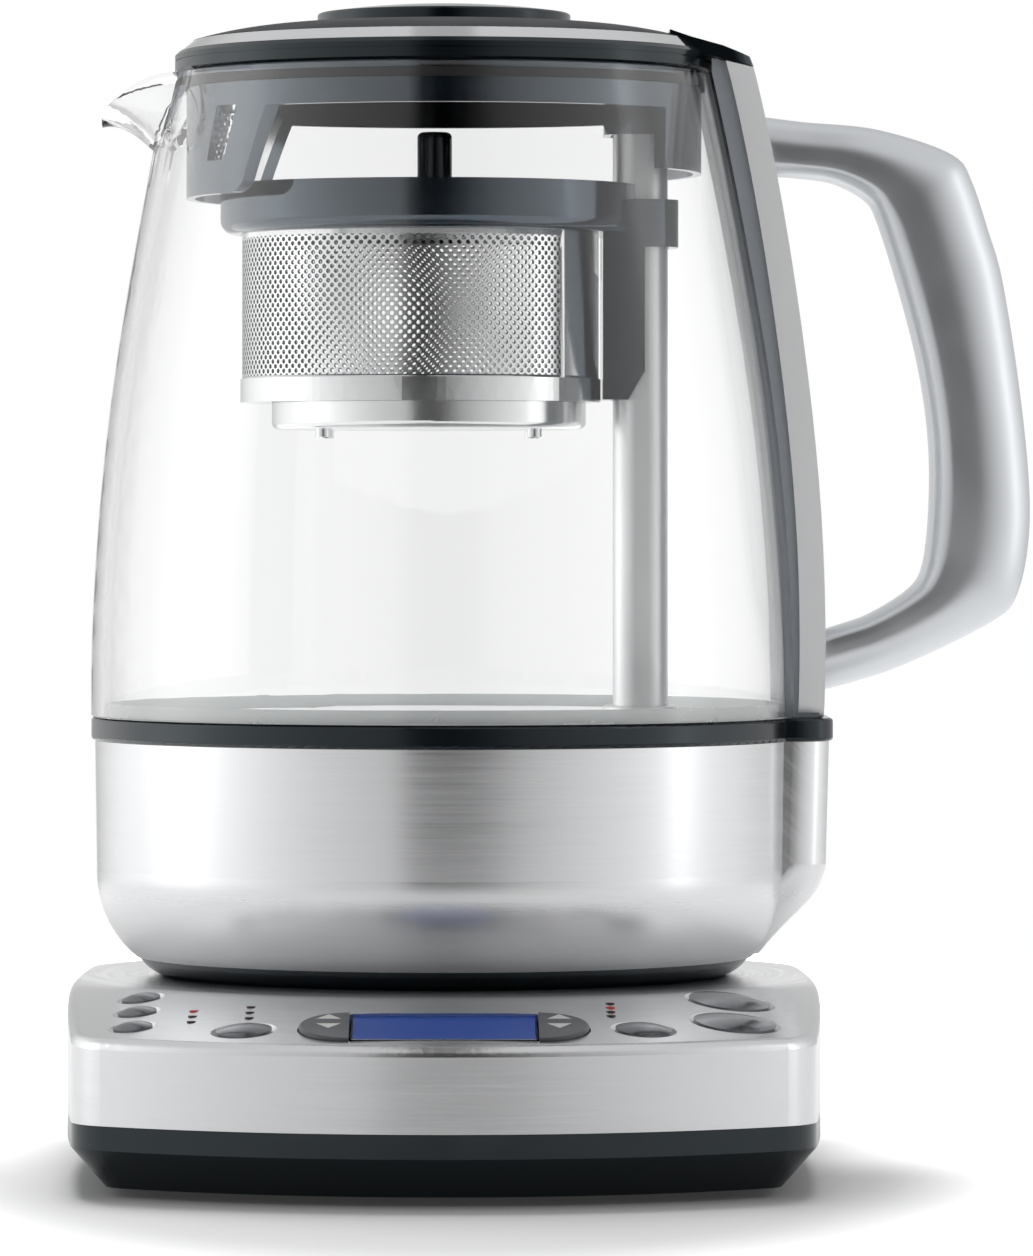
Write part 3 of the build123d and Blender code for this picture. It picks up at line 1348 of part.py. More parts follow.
knob_stem_z = lid_dome_top_z - knob_stem_l
dome_edge_z = lid_band_top_z + seat_gap
dome_flat_r = knob_r - 0.8
dome_lip_r = lid_band_top_r - 3.2
with BuildPart() as lid_dome:
    with BuildSketch(Plane.XZ):
        with BuildLine():
            crown = ThreePointArc((lid_band_top_r, dome_edge_z),
                                  (lid_band_top_r - 10.6, lid_dome_top_z - 0.85),
                                  (dome_flat_r, lid_dome_top_z))
            Polyline(crown @ 1, (knob_stem_r + seat_gap, lid_dome_top_z),
                     (knob_stem_r + seat_gap, lid_dome_top_z - lid_wall),
                     (dome_flat_r, lid_dome_top_z - lid_wall))
            ThreePointArc((dome_flat_r, lid_dome_top_z - lid_wall), (dome_lip_r - 8.4, lid_dome_top_z - 2.5),
                          (dome_lip_r, dome_edge_z - 0.45))
            Polyline((dome_lip_r, dome_edge_z - 0.45), (dome_lip_r, dome_edge_z - 1.2),
                     (band_seat_r - slip_gap, dome_edge_z - 1.2), (band_seat_r - slip_gap, dome_edge_z),
                     crown @ 0)
        make_face()
    revolve(axis=Axis.Z)
    add(tail_notch, mode=Mode.SUBTRACT)

lid_dome.part.label = "lid_dome"
export_step(lid_dome.part, "parts/lid_dome.step")

with BuildPart() as lid_knob:
    with BuildSketch(Plane.XZ):
        with BuildLine():
            Polyline((0, knob_top_z), (0, knob_stem_z), (knob_stem_r, knob_stem_z),
                     (knob_stem_r, knob_base_z), (knob_r, knob_base_z), (knob_r, knob_edge_z))
            ThreePointArc((knob_r, knob_edge_z), crown_point(knob_r, knob_edge_z, knob_top_z),
                          (0, knob_top_z))
        make_face()
    revolve(axis=Axis.Z)
    fillet(lid_knob.edges().filter_by(lambda e: abs(e.center().Z - knob_edge_z) < 0.1), 0.6)

lid_knob.part.label = "lid_knob"
export_step(lid_knob.part, "parts/lid_knob.step")


def spout_side(half_top, half_foot, top_z, foot_z, corner_r):
    """Outline of the tab that hangs behind the spout, seen from the spout."""
    with BuildSketch() as outline:
        Polygon((-half_top, top_z), (-half_foot, foot_z), (half_foot, foot_z), (half_top, top_z), align=None)
        fillet(outline.vertices().group_by(Axis.Y)[0], corner_r)
    return outline.sketch


def skirt_shell(r_in, r_out, z0, z1):
    """A tube about the jug's axis."""
    return turned([(r_in, z0), (r_out, z0), (r_out, z1), (r_in, z1)])


roof_z = lid_seam_z - roof_t - 1.1
with BuildPart() as spout_tab:
    add(skirt_shell(skirt_r - skirt_wall, skirt_r, spout_tab_z - 1, skirt_edge_z + 1))
    with BuildSketch(Plane.YZ):
        add(spout_side(spout_tab_half_top, spout_tab_half_foot, skirt_edge_z + 0.5, spout_tab_z,
                       spout_tab_corner_r))
    extrude(amount=-lid_r, mode=Mode.INTERSECT)

with BuildPart() as post_tab:
    add(skirt_shell(skirt_r - skirt_wall, skirt_r, post_tab_z, skirt_edge_z + 0.5))
    with BuildSketch(Plane.YZ):
        with Locations((0, (post_tab_z + skirt_edge_z) / 2)):
            Rectangle(2 * post_tab_half_w, 2 * post_tab_drop)
    extrude(amount=lid_r, mode=Mode.INTERSECT)

with BuildPart() as lid_skirt:
    add(skirt_shell(skirt_r - skirt_wall, skirt_r, skirt_edge_z, roof_z + roof_t))
    add(spout_tab.part)
    add(post_tab.part)
    with BuildSketch(Plane.XY.offset(roof_z)):
        Circle(skirt_r - 0.5)
    extrude(amount=roof_t)
    # socket for the top of the lift post
    with BuildSketch(Plane.XY.offset(post_socket_z)):
        add(post_outline(post_socket_wall + post_socket_gap))
    extrude(amount=roof_z - post_socket_z)
    with BuildSketch(Plane.XY.offset(post_socket_z)):
        add(post_outline(post_socket_gap))
    extrude(amount=roof_z - post_socket_z - 1, mode=Mode.SUBTRACT)
    # windows of the spout's filter
    for angle in filter_window_angles:
        outward = (-cos(radians(angle)), -sin(radians(angle)), 0)
        across = (sin(radians(angle)), -cos(radians(angle)), 0)
        half_w = skirt_r * tan(radians(filter_window_angle / 2))
        half_h = filter_window_h / 2
        side = (angle > 0) - (angle < 0)
        lean = side * half_h * tan(radians(filter_window_lean))
        window_plane = Plane(origin=(0, 0, filter_window_z), x_dir=across, z_dir=outward)
        with BuildSketch(window_plane.offset(skirt_r - 4 * skirt_wall)):
            Polygon((-half_w - lean, -half_h), (half_w - lean, -half_h), (half_w + lean, half_h),
                    (-half_w + lean, half_h), align=None)
        extrude(amount=6 * skirt_wall, mode=Mode.SUBTRACT)
    with BuildSketch(Plane.XZ):
        with BuildLine():
            Polyline(*[(x, z - seat_gap) for x, z in tail_outline[4:6]], (lid_r / 2, tail_root[1] - seat_gap),
                     (lid_r / 2, beyond), (tail_end[0], beyond), close=True)
        make_face()
    extrude(amount=tail_half_w + seat_gap, both=True, mode=Mode.SUBTRACT)

lid_skirt.part.label = "lid_skirt"
export_step(lid_skirt.part, "parts/lid_skirt.step")

filter_r = skirt_r - skirt_wall - seat_gap
with BuildPart() as spout_filter:
    add(skirt_shell(filter_r - filter_t, filter_r, spout_tab_z + 3, skirt_edge_z + 2))
    with BuildSketch(Plane.YZ):
        add(spout_side(spout_tab_half_top - filter_margin, spout_tab_half_foot - filter_margin,
                       skirt_edge_z + 1.5, spout_tab_z + filter_margin + 1, spout_tab_corner_r - 1))
    extrude(amount=-lid_r, mode=Mode.INTERSECT)

spout_filter.part.label = "spout_filter"
export_step(spout_filter.part, "parts/spout_filter.step")

with BuildPart() as lid_seal:
    add(skirt_shell(skirt_r + seat_gap, skirt_r + seat_gap + lid_seal_t, lid_seal_z, lid_seal_z + lid_seal_h))

lid_seal.part.label = "lid_seal"
export_step(lid_seal.part, "parts/lid_seal.step")


# ================================================================ tea basket
rider_half_y = post_half_y + post_gap + hook_wall


def disc(x, radius, z0, z1):
    """A round plate centred on x, from z0 up to z1."""
    with BuildPart() as form:
        with BuildSketch(Plane.XY.offset(z0)):
            with Locations((x, 0)):
                Circle(radius)
        extrude(amount=z1 - z0)
    return form.part


with BuildPart() as basket_collar:
    add(disc(basket_x, collar_r, collar_base_z, collar_top_z))
    fillet(basket_collar.edges().sort_by(Axis.Z)[0], collar_round)
    add(disc(basket_x, collar_r - collar_wall, collar_ledge_z, collar_top_z), mode=Mode.SUBTRACT)
    add(disc(strainer_x, strainer_r + 0.2, collar_base_z, collar_ledge_z), mode=Mode.SUBTRACT)
    # bead that the cover sits on
    with BuildSketch(Plane.XY.offset(cover_z - seat_gap - cover_bead_h)):
        with Locations((basket_x, 0)):
            Circle(collar_r - collar_wall / 2)
            Circle(collar_r - collar_wall - cover_bead_w, mode=Mode.SUBTRACT)
    extrude(amount=cover_bead_h)
    # rider: a channel behind the strainer that runs on the post
    with BuildSketch(Plane.XZ):
        with BuildLine():
            Polyline((rider_back_x, rider_base_z), (rider_x - rider_chamfer[0], rider_base_z),
                     (rider_x, rider_base_z + rider_chamfer[1]),
                     (rider_x, collar_base_z + 0.5), (rider_back_x, collar_base_z + 0.5), close=True)
        make_face()
    extrude(amount=rider_half_y, both=True)
    # hook: the ring that closes round the post
    with BuildSketch(Plane.XY.offset(hook_base_z)):
        add(post_outline(post_gap + hook_wall))
    extrude(amount=hook_top_z - hook_base_z)
    with BuildSketch(Plane.XY.offset(rider_base_z - 5)):
        add(post_outline(post_gap))
    extrude(amount=beyond, mode=Mode.SUBTRACT)
    add(block(rider_back_x - 1, rider_back_x + magnet_t + 2 * seat_gap, magnet_w / 2 + seat_gap,
              magnet_z0 - seat_gap, magnet_z0 + magnet_h + seat_gap), mode=Mode.SUBTRACT)

basket_collar.part.label = "basket_collar"
export_step(basket_collar.part, "parts/basket_collar.step")

with BuildPart() as basket_magnet:
    add(block(rider_back_x + seat_gap, rider_back_x + seat_gap + magnet_t, magnet_w / 2, magnet_z0,
              magnet_z0 + magnet_h))

basket_magnet.part.label = "basket_magnet"
export_step(basket_magnet.part, "parts/basket_magnet.step")

with BuildPart() as strainer_wall:
    add(disc(strainer_x, strainer_r, strainer_base_z + seat_gap, strainer_top_z))
    add(disc(strainer_x, strainer_flange_r, strainer_top_z - strainer_t, strainer_top_z))
    add(disc(strainer_x, strainer_r - strainer_t, strainer_base_z, strainer_top_z + 5), mode=Mode.SUBTRACT)
    add(block(rider_back_x - 0.4, collar_r, rider_half_y + 0.4, collar_base_z, collar_top_z),
        mode=Mode.SUBTRACT)

strainer_wall.part.label = "strainer_wall"
export_step(strainer_wall.part, "parts/strainer_wall.step")

with BuildPart() as strainer_ring:
    add(disc(strainer_x, ring_r, ring_base_z, strainer_base_z))
    add(disc(strainer_x, ring_r - ring_wall, ring_base_z + ring_wall, strainer_base_z), mode=Mode.SUBTRACT)
    add(disc(basket_x, pan_r - ring_wall, ring_base_z, strainer_base_z), mode=Mode.SUBTRACT)

strainer_ring.part.label = "strainer_ring"
export_step(strainer_ring.part, "parts/strainer_ring.step")

with BuildPart() as strainer_base:
    add(disc(basket_x, pan_r, pan_base_z, ring_base_z - seat_gap))
    fillet(strainer_base.faces().sort_by(Axis.Z)[0].edges(), pan_round)
    add(disc(basket_x, pan_r - pan_wall, pan_base_z + pan_wall, ring_base_z), mode=Mode.SUBTRACT)
    with BuildSketch(Plane.XY.offset(pan_base_z - basket_foot_h)):
        with Locations((basket_x, 0)):
            with GridLocations(2 * basket_foot_spot[0], 2 * basket_foot_spot[1], 2, 2):
                Circle(basket_foot_r)
    extrude(amount=basket_foot_h + pan_wall / 2)

strainer_base.part.label = "strainer_base"
export_step(strainer_base.part, "parts/strainer_base.step")

with BuildPart() as basket_cover:
    add(disc(basket_x, cover_r, cover_z, cover_z + cover_t))
    fillet(basket_cover.edges(), 0.4)
    add(disc(peg_x, peg_r, cover_z + cover_t / 2, peg_top_z))
    fillet(basket_cover.edges().sort_by(Axis.Z)[-1], 1.2)
    with BuildSketch(Plane.XY.offset(cover_z - 1)):
        add(post_outline(post_gap + hook_wall + moving_gap))
    extrude(amount=cover_t + 2, mode=Mode.SUBTRACT)

basket_cover.part.label = "basket_cover"
export_step(basket_cover.part, "parts/basket_cover.step")
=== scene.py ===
"""Looks of an automatic tea maker: a glass jug on a steel power base, with a tea basket inside.

Positions are in the frame's own metres; sizes are written in millimetres and turned by mm().
"""
import json
import math

import bmesh
import bpy
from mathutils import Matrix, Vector
from mathutils.bvhtree import BVHTree


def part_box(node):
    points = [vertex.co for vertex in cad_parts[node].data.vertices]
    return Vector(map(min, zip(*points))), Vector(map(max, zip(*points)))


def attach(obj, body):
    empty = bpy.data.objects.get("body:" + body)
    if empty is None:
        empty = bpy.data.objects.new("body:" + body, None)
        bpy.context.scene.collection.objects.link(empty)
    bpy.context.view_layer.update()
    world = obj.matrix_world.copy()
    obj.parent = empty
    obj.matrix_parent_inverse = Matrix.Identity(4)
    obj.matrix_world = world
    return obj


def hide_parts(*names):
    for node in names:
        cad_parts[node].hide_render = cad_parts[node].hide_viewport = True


WELD = 2e-6                  # points nearer than this, in metres, become one
SMOOTH_ANGLE = 35.0          # edges sharper than this stay sharp, in degrees
FINE_ANGLE = 30.0            # the same, on glass and on perforated sheet

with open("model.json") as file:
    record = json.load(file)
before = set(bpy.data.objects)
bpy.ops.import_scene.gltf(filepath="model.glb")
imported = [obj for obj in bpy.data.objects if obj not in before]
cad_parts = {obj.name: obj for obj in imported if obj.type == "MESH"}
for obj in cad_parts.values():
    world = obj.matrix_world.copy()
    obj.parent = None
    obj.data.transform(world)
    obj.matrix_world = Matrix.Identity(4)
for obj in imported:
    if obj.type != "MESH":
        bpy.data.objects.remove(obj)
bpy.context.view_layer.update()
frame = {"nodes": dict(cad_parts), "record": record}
nodes = frame["nodes"]
node_body = {node: body
             for body, members in frame["record"]["behaviour"]["bodies"].items()
             for node in members}
node_slot = {part["node"]: part["material_slot"] for part in frame["record"]["subparts"]}


def mm(*values):
    """Millimetres to metres: one number, or a Vector of three."""
    if len(values) == 1:
        return values[0] / 1000
    return Vector([value / 1000 for value in values])


# ---------------------------------------------------------------- meshes
def new_piece(name, mesh):
    """An object for a mesh, linked into the scene."""
    piece = bpy.data.objects.new(name, mesh)
    bpy.context.scene.collection.objects.link(piece)
    return piece


def smooth(mesh, angle):
    """Smooth shading, except across edges sharper than an angle in degrees."""
    mesh.shade_smooth()
    mesh.set_sharp_from_angle(angle=math.radians(angle))


def weld(mesh, turn_out):
    """Joins doubled points, and may turn all faces outwards."""
    work = bmesh.new()
    work.from_mesh(mesh)
    bmesh.ops.remove_doubles(work, verts=work.verts, dist=WELD)
    if turn_out:
        bmesh.ops.recalc_face_normals(work, faces=work.faces)
    work.to_mesh(mesh)
    work.free()


def mesh_piece(name, vertices, faces, angle=SMOOTH_ANGLE):
    """A new object from points in millimetres and faces."""
    mesh = bpy.data.meshes.new(name)
    mesh.from_pydata([mm(*v) for v in vertices], [], faces)
    weld(mesh, turn_out=True)
    smooth(mesh, angle)
    return new_piece(name, mesh)


def tube_faces(rows, columns):
    """Faces of a tube given as rings of points: quads round it, and a cap at each end."""
    faces = []
    for r in range(rows - 1):
        for c in range(columns):
            c1 = (c + 1) % columns
            faces.append((r * columns + c, r * columns + c1,
                          (r + 1) * columns + c1, (r + 1) * columns + c))
    faces += [tuple(range(columns)), tuple((rows - 1) * columns + c for c in range(columns))]
    return faces


def settled(piece):
    """The plain mesh that a piece's modifiers make."""
    ready = piece.evaluated_get(bpy.context.evaluated_depsgraph_get())
    return bpy.data.meshes.new_from_object(ready)


def smoothed(node, angle=SMOOTH_ANGLE):
    """A welded, smooth-shaded copy of a CAD node, which it replaces."""
    mesh = nodes[node].data.copy()
    mesh.name = node + "_surface"
    mesh.materials.clear()
    weld(mesh, turn_out=False)
    smooth(mesh, angle)
    return stand_for(new_piece(node + "_surface", mesh), node)


def stand_for(piece, node):
    """The piece takes a CAD node's place and body, and the node is hidden."""
    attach(piece, node_body[node])
    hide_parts(node)
    return piece


def wear(piece, material):
    """Gives the whole piece one material."""
    piece.data.materials.clear()
    piece.data.materials.append(material)
    return piece


# ---------------------------------------------------------------- node tools
def new_material(name):
    """A node material: itself, its tree and its Principled shader."""
    material = bpy.data.materials.new(name)
    material.use_nodes = True
    tree = material.node_tree
    return material, tree, tree.nodes["Principled BSDF"]


def feed(tree, socket, value):
    """Gives a socket a value, or links it to another node's output."""
    if isinstance(value, bpy.types.NodeSocket):
        tree.links.new(value, socket)
    else:
        socket.default_value = value


def add_node(tree, kind, **settings):
    """A node with some of its properties and inputs set; an input's name has _ for a space."""
    node = tree.nodes.new(kind)
    for key, value in settings.items():
        label = key.replace("_", " ")
        if label in node.inputs:
            feed(tree, node.inputs[label], value)
        else:
            setattr(node, key, value)
    return node


def calculate(tree, operation, a, b=0.0):
    """A sum on two values, each a number or another node's output; returns the result's socket."""
    node = add_node(tree, "ShaderNodeMath", operation=operation)
    feed(tree, node.inputs[0], a)
    feed(tree, node.inputs[1], b)
    return node.outputs[0]


def on_vectors(tree, operation, first, second=None):
    """A sum on vectors. SCALE takes a number second, and LENGTH gives a number."""
    node = add_node(tree, "ShaderNodeVectorMath", operation=operation)
    feed(tree, node.inputs[0], first)
    if second is not None:
        feed(tree, node.inputs["Scale"] if operation == "SCALE" else node.inputs[1], second)
    return node.outputs["Value" if operation == "LENGTH" else "Vector"]


def vector_of(tree, x=0.0, y=0.0, z=0.0):
    """A vector from three values."""
    return add_node(tree, "ShaderNodeCombineXYZ", X=x, Y=y, Z=z).outputs["Vector"]


def axes_of(tree, vector):
    """A vector's three values, as outputs named X, Y and Z."""
    return add_node(tree, "ShaderNodeSeparateXYZ", Vector=vector).outputs


def own_place(tree):
    """A point's place in the piece's own coordinates."""
    return tree.nodes.new("ShaderNodeTexCoord").outputs["Object"]


def blend_values(tree, share, first, second):
    """Mixes two values, each a number or a node's output, by a share from 0 to 1."""
    mix = add_node(tree, "ShaderNodeMix", data_type="FLOAT")
    for label, value in (("Factor", share), ("A", first), ("B", second)):
        feed(tree, mix.inputs[label], value)
    return mix.outputs["Result"]


def ease(tree, value, low, high):
    """0 below the low value, 1 above the high one, and a soft rise between them."""
    step = add_node(tree, "ShaderNodeMapRange", interpolation_type="SMOOTHSTEP",
                    Value=value, From_Min=low, From_Max=high)
    return step.outputs["Result"]


def between(tree, value, source, low, high):
    """Carries a value from its usual range, a pair of numbers, to the range between two limits."""
    step = add_node(tree, "ShaderNodeMapRange", Value=value, From_Min=source[0], From_Max=source[1],
                    To_Min=low, To_Max=high)
    return step.outputs["Result"]


def new_group(name, inputs, outputs):
    """A shader node group with its sockets: name -> (type, default), and name -> type."""
    group = bpy.data.node_groups.new(name, "ShaderNodeTree")
    for label, (kind, default) in inputs.items():
        socket = group.interface.new_socket(label, in_out="INPUT", socket_type=kind)
        socket.default_value = default
    for label, kind in outputs.items():
        group.interface.new_socket(label, in_out="OUTPUT", socket_type=kind)
    return group, group.nodes.new("NodeGroupInput"), group.nodes.new("NodeGroupOutput")


def place_group(tree, group, **values):
    """Puts a node group into a material and sets its named inputs."""
    node = add_node(tree, "ShaderNodeGroup", node_tree=group)
    for label, value in values.items():
        node.inputs[label.replace("_", " ").capitalize()].default_value = value
    return node


# ---------------------------------------------------------------- surface patterns
CLOUD_RANGE = (0.3, 0.7)     # the usual spread of one noise, and of two layers added
LINE_RANGE = (0.35, 0.65)
LINE_LAYERS = (1.0, 0.35)    # scale of the fine lines, and of the coarse ones under them


def smudge_group():
    """Soft unevenness of a handled surface: a roughness between two limits, and a fine height."""
    number = "NodeSocketFloat"
    group, entry, leave = new_group(
        "smudge",
        {"Scale": (number, 60.0), "Low": (number, 0.2), "High": (number, 0.3), "Grain": (number, 1500.0)},
        {"Roughness": number, "Height": number})
    given, place = entry.outputs, own_place(group)
    clouds = add_node(group, "ShaderNodeTexNoise", Vector=place, Scale=given["Scale"], Detail=4.0)
    grain = add_node(group, "ShaderNodeTexNoise", Vector=place, Scale=given["Grain"], Detail=1.0)
    feed(group, leave.inputs["Roughness"],
         between(group, clouds.outputs["Fac"], CLOUD_RANGE, given["Low"], given["High"]))
    feed(group, leave.inputs["Height"], grain.outputs["Fac"])
    return group


def brushing_group():
    """Fine lines of brushed sheet that run round the jug's axis, on upright and on level faces."""
    number, colour = "NodeSocketFloat", "NodeSocketColor"
    group, entry, leave = new_group(
        "brushing",
        {"Line scale": (number, 2600.0), "Streak": (number, 60.0), "Low": (number, 0.2),
         "High": (number, 0.26), "Base color": (colour, (0.6, 0.6, 0.6, 1)), "Shade": (number, 0.1)},
        {"Roughness": number, "Height": number, "Color": colour})
    given = entry.outputs
    place = axes_of(group, own_place(group))
    reach = on_vectors(group, "LENGTH", vector_of(group, place["X"], place["Y"]))
    across = calculate(group, "ADD", reach, place["Z"])
    layers = []
    for coarse in LINE_LAYERS:
        streak = calculate(group, "MULTIPLY", given["Streak"], coarse)
        scale = calculate(group, "MULTIPLY", given["Line scale"], coarse)
        lines = vector_of(group, calculate(group, "MULTIPLY", place["X"], streak),
                          calculate(group, "MULTIPLY", place["Y"], streak),
                          calculate(group, "MULTIPLY", across, scale))
        noise = add_node(group, "ShaderNodeTexNoise", Vector=lines, Scale=1.0, Detail=2.0)
        layers.append(noise.outputs["Fac"])
    both = calculate(group, "MULTIPLY", calculate(group, "ADD", *layers), 0.5)
    around = calculate(group, "SUBTRACT", both, 0.5)
    change = calculate(group, "MULTIPLY", around, given["Shade"])
    tint = on_vectors(group, "SCALE", given["Base color"], calculate(group, "ADD", change, 1.0))
    feed(group, leave.inputs["Roughness"], between(group, both, LINE_RANGE, given["Low"], given["High"]))
    feed(group, leave.inputs["Height"], both)
    feed(group, leave.inputs["Color"], tint)
    return group


smudge = smudge_group()
brushing = brushing_group()


# ---------------------------------------------------------------- kinds of finish
TOE_SHADE_AND_POLISH = (48, 60)        # below the first height the housing's toe is duller and darkened by painted shade; above the second it is polished and unshaded
TOE_PAINTED_SHADE, TOE_DULL = 0.82, 0.22    # share of the colour kept under the painted shade, and roughness added, at the toe
COAT_ROUGHNESS = 0.06
SHADOW_TINT = (0.94, 0.95, 0.95, 1)    # what a lamp's light keeps when it crosses clear glass
ANISOTROPY = 0.5
QUARTER_TURN = 0.25          # the highlights spread across the brushed lines
GLASS_SCALE = 25.0           # the unevenness of clear glass is broader than that of plastic
LINE_BUMP = (0.05, 0.02)     # strength, and depth in mm
GRAIN_DEPTH = 0.1            # in mm


def bump(tree, shader, height, strength, distance):
    """Feeds a height into the shader's normal; the distance is in mm."""
    node = add_node(tree, "ShaderNodeBump", Strength=strength, Distance=mm(distance), Height=height)
    feed(tree, shader.inputs["Normal"], node.outputs["Normal"])


def set_shader(shader, **values):
    """Sets the shader's own inputs; an input's name has _ for a space."""
    for key, value in values.items():
        shader.inputs[key.replace("_", " ")].default_value = value


def brushed(name, color, low, high, toe=None):
    """Brushed sheet steel with level lines, whose shine spreads across them.

    Below toe = (height, height where it is fully polished) in mm the finish is duller, and a painted shade
    darkens its colour.
    """
    material, tree, shader = new_material(name)
    set_shader(shader, Metallic=1.0, Anisotropic=ANISOTROPY, Anisotropic_Rotation=QUARTER_TURN)
    lines = place_group(tree, brushing, low=low, high=high, base_color=(*color, 1))
    color_out, roughness_out = lines.outputs["Color"], lines.outputs["Roughness"]
    if toe:
        height = axes_of(tree, own_place(tree))["Z"]
        unshaded_polished = ease(tree, height, mm(toe[0]), mm(toe[1]))
        # painted shade: the steel's colour darkens towards the foot of the housing
        color_out = on_vectors(tree, "SCALE", color_out, blend_values(tree, unshaded_polished, TOE_PAINTED_SHADE, 1.0))
        roughness_out = calculate(tree, "ADD", roughness_out, blend_values(tree, unshaded_polished, TOE_DULL, 0.0))
    feed(tree, shader.inputs["Base Color"], color_out)
    feed(tree, shader.inputs["Roughness"], roughness_out)
    tangent = add_node(tree, "ShaderNodeTangent", direction_type="RADIAL", axis="Z")
    feed(tree, shader.inputs["Tangent"], tangent.outputs["Tangent"])
    bump(tree, shader, lines.outputs["Height"], *LINE_BUMP)
    return material


def moulded(name, color, low, high, grain=1500.0, grain_depth=0.05, metallic=0.0, coat=0.0, glow=None,
            specular=0.5, transmission=0.0, ior=1.5, tint=(1, 1, 1)):
    """Moulded plastic, rubber, or plain polished metal."""
    material, tree, shader = new_material(name)
    set_shader(shader, Base_Color=(*color, 1), Metallic=metallic, Coat_Weight=coat,
               Coat_Roughness=COAT_ROUGHNESS, Specular_IOR_Level=specular, Specular_Tint=(*tint, 1),
               IOR=ior, Transmission_Weight=transmission)
    if glow:
        set_shader(shader, Emission_Color=(*glow, 1), Emission_Strength=1.0)
    haze = place_group(tree, smudge, low=low, high=high, grain=grain)
    feed(tree, shader.inputs["Roughness"], haze.outputs["Roughness"])
    bump(tree, shader, haze.outputs["Height"], grain_depth, GRAIN_DEPTH)
    return material


def clear(name, color, low, high, ior):
    """Clear glass that lets the lamps' light through."""
    material, tree, shader = new_material(name)
    set_shader(shader, Base_Color=(*color, 1), Transmission_Weight=1.0, IOR=ior)
    haze = place_group(tree, smudge, scale=GLASS_SCALE, low=low, high=high)
    feed(tree, shader.inputs["Roughness"], haze.outputs["Roughness"])
    rays = tree.nodes.new("ShaderNodeLightPath")
    film = add_node(tree, "ShaderNodeBsdfTransparent", Color=SHADOW_TINT)
    either = add_node(tree, "ShaderNodeMixShader", Fac=rays.outputs["Is Shadow Ray"])
    feed(tree, either.inputs[1], shader.outputs["BSDF"])
    feed(tree, either.inputs[2], film.outputs["BSDF"])
    feed(tree, tree.nodes["Material Output"].inputs["Surface"], either.outputs["Shader"])
    return material


# ---------------------------------------------------------------- finishes
# name: kind, colour, lowest and highest roughness, and what else sets it apart
METAL = {"metallic": 1.0}
SMOOTH_METAL = {"metallic": 1.0, "grain_depth": 0.02}
SATIN_METAL = {"metallic": 1.0, "grain_depth": 0.02, "grain": 3000.0}
CLEAR_SHINE = (0.0, 0.015)
LOOKS = {
    "brushed_steel": (brushed, (0.72, 0.725, 0.735), (0.2, 0.27), {}),
    "handle_metal": (moulded, (0.72, 0.74, 0.765), (0.31, 0.36), SATIN_METAL),
    "post_steel": (moulded, (0.92, 0.925, 0.93), (0.4, 0.45), SMOOTH_METAL),
    "strainer_steel": (moulded, (0.8, 0.805, 0.81), (0.12, 0.17), SMOOTH_METAL),
    "black_plastic": (moulded, (0.005, 0.0072, 0.0095), (0.14, 0.2), {"tint": (0.82, 0.95, 1.0)}),
    "slate_plastic": (moulded, (0.005, 0.008, 0.012), (0.07, 0.1),
                      {"grain_depth": 0.0, "specular": 1.0, "ior": 1.62, "tint": (0.72, 0.86, 1.0)}),
    "jug_glass": (clear, (0.97, 0.972, 0.972), CLEAR_SHINE, {"ior": 1.47}),
    "seal_clear": (moulded, (0.85, 0.87, 0.87), (0.2, 0.3), {"transmission": 0.6}),
    "seal_rubber": (moulded, (0.02, 0.02, 0.022), (0.55, 0.7), {"grain": 900.0, "grain_depth": 0.2}),
    "screw_steel": (moulded, (0.6, 0.6, 0.62), (0.15, 0.25), METAL),
    "contact_brass": (moulded, (0.72, 0.5, 0.2), (0.15, 0.25), METAL),
    "circuit_board": (moulded, (0.01, 0.1, 0.04), (0.3, 0.4), {"coat": 0.5}),
    "switch_plastic": (moulded, (0.03, 0.03, 0.032), (0.5, 0.6), {}),
    "cap_steel": (moulded, (0.18, 0.19, 0.2), (0.12, 0.17), METAL),
    "pad_grey": (moulded, (0.065, 0.072, 0.08), (0.3, 0.4), {}),
    "display_glass": (clear, (0.9, 0.93, 1.0), CLEAR_SHINE, {"ior": 1.04}),
    "display_blue": (moulded, (0.002, 0.006, 0.04), (0.5, 0.6),
                     {"glow": (0.009, 0.038, 0.18), "specular": 0.2}),
    "lamp_red": (moulded, (0.45, 0.025, 0.015), (0.2, 0.3), {"glow": (0.07, 0.005, 0.003)}),
    "lamp_dark": (moulded, (0.03, 0.008, 0.008), (0.2, 0.3), {}),
    "element_steel": (moulded, (0.4, 0.39, 0.38), (0.35, 0.5), METAL),
    "motor_steel": (moulded, (0.4, 0.4, 0.42), (0.3, 0.4), METAL),
    "belt_rubber": (moulded, (0.015, 0.015, 0.015), (0.6, 0.7), {"grain_depth": 0.2}),
    "pulley_plastic": (moulded, (0.75, 0.75, 0.73), (0.4, 0.5), {}),
    "magnet_nickel": (moulded, (0.6, 0.6, 0.58), (0.15, 0.2), METAL),
    # finishes of single nodes, which share their slot with others
    "satin_steel": (moulded, (0.72, 0.725, 0.735), (0.07, 0.1), SATIN_METAL),
    "frosted_steel": (moulded, (0.86, 0.865, 0.87), (0.35, 0.4), {**SATIN_METAL, "metallic": 0.35}),
    "lid_black": (moulded, (0.008, 0.0095, 0.0115), (0.42, 0.5), {"specular": 0.12}),
    "smoked_plastic": (moulded, (0.48, 0.51, 0.55), (0.2, 0.25), {}),
    "column_steel": (moulded, (0.93, 0.935, 0.94), (0.7, 0.75), SATIN_METAL),
    "toe_steel": (brushed, (0.76, 0.765, 0.775), (0.2, 0.27), {"toe": TOE_SHADE_AND_POLISH}),
}
OWN_FINISH = {
    "jug_housing": "toe_steel", "column_cover": "column_steel", "heating_plate": "frosted_steel",
    "lid_trim_band": "satin_steel", "lid_dome": "lid_black", "column_spine": "smoked_plastic",
    "basket_cover": "black_plastic",
}
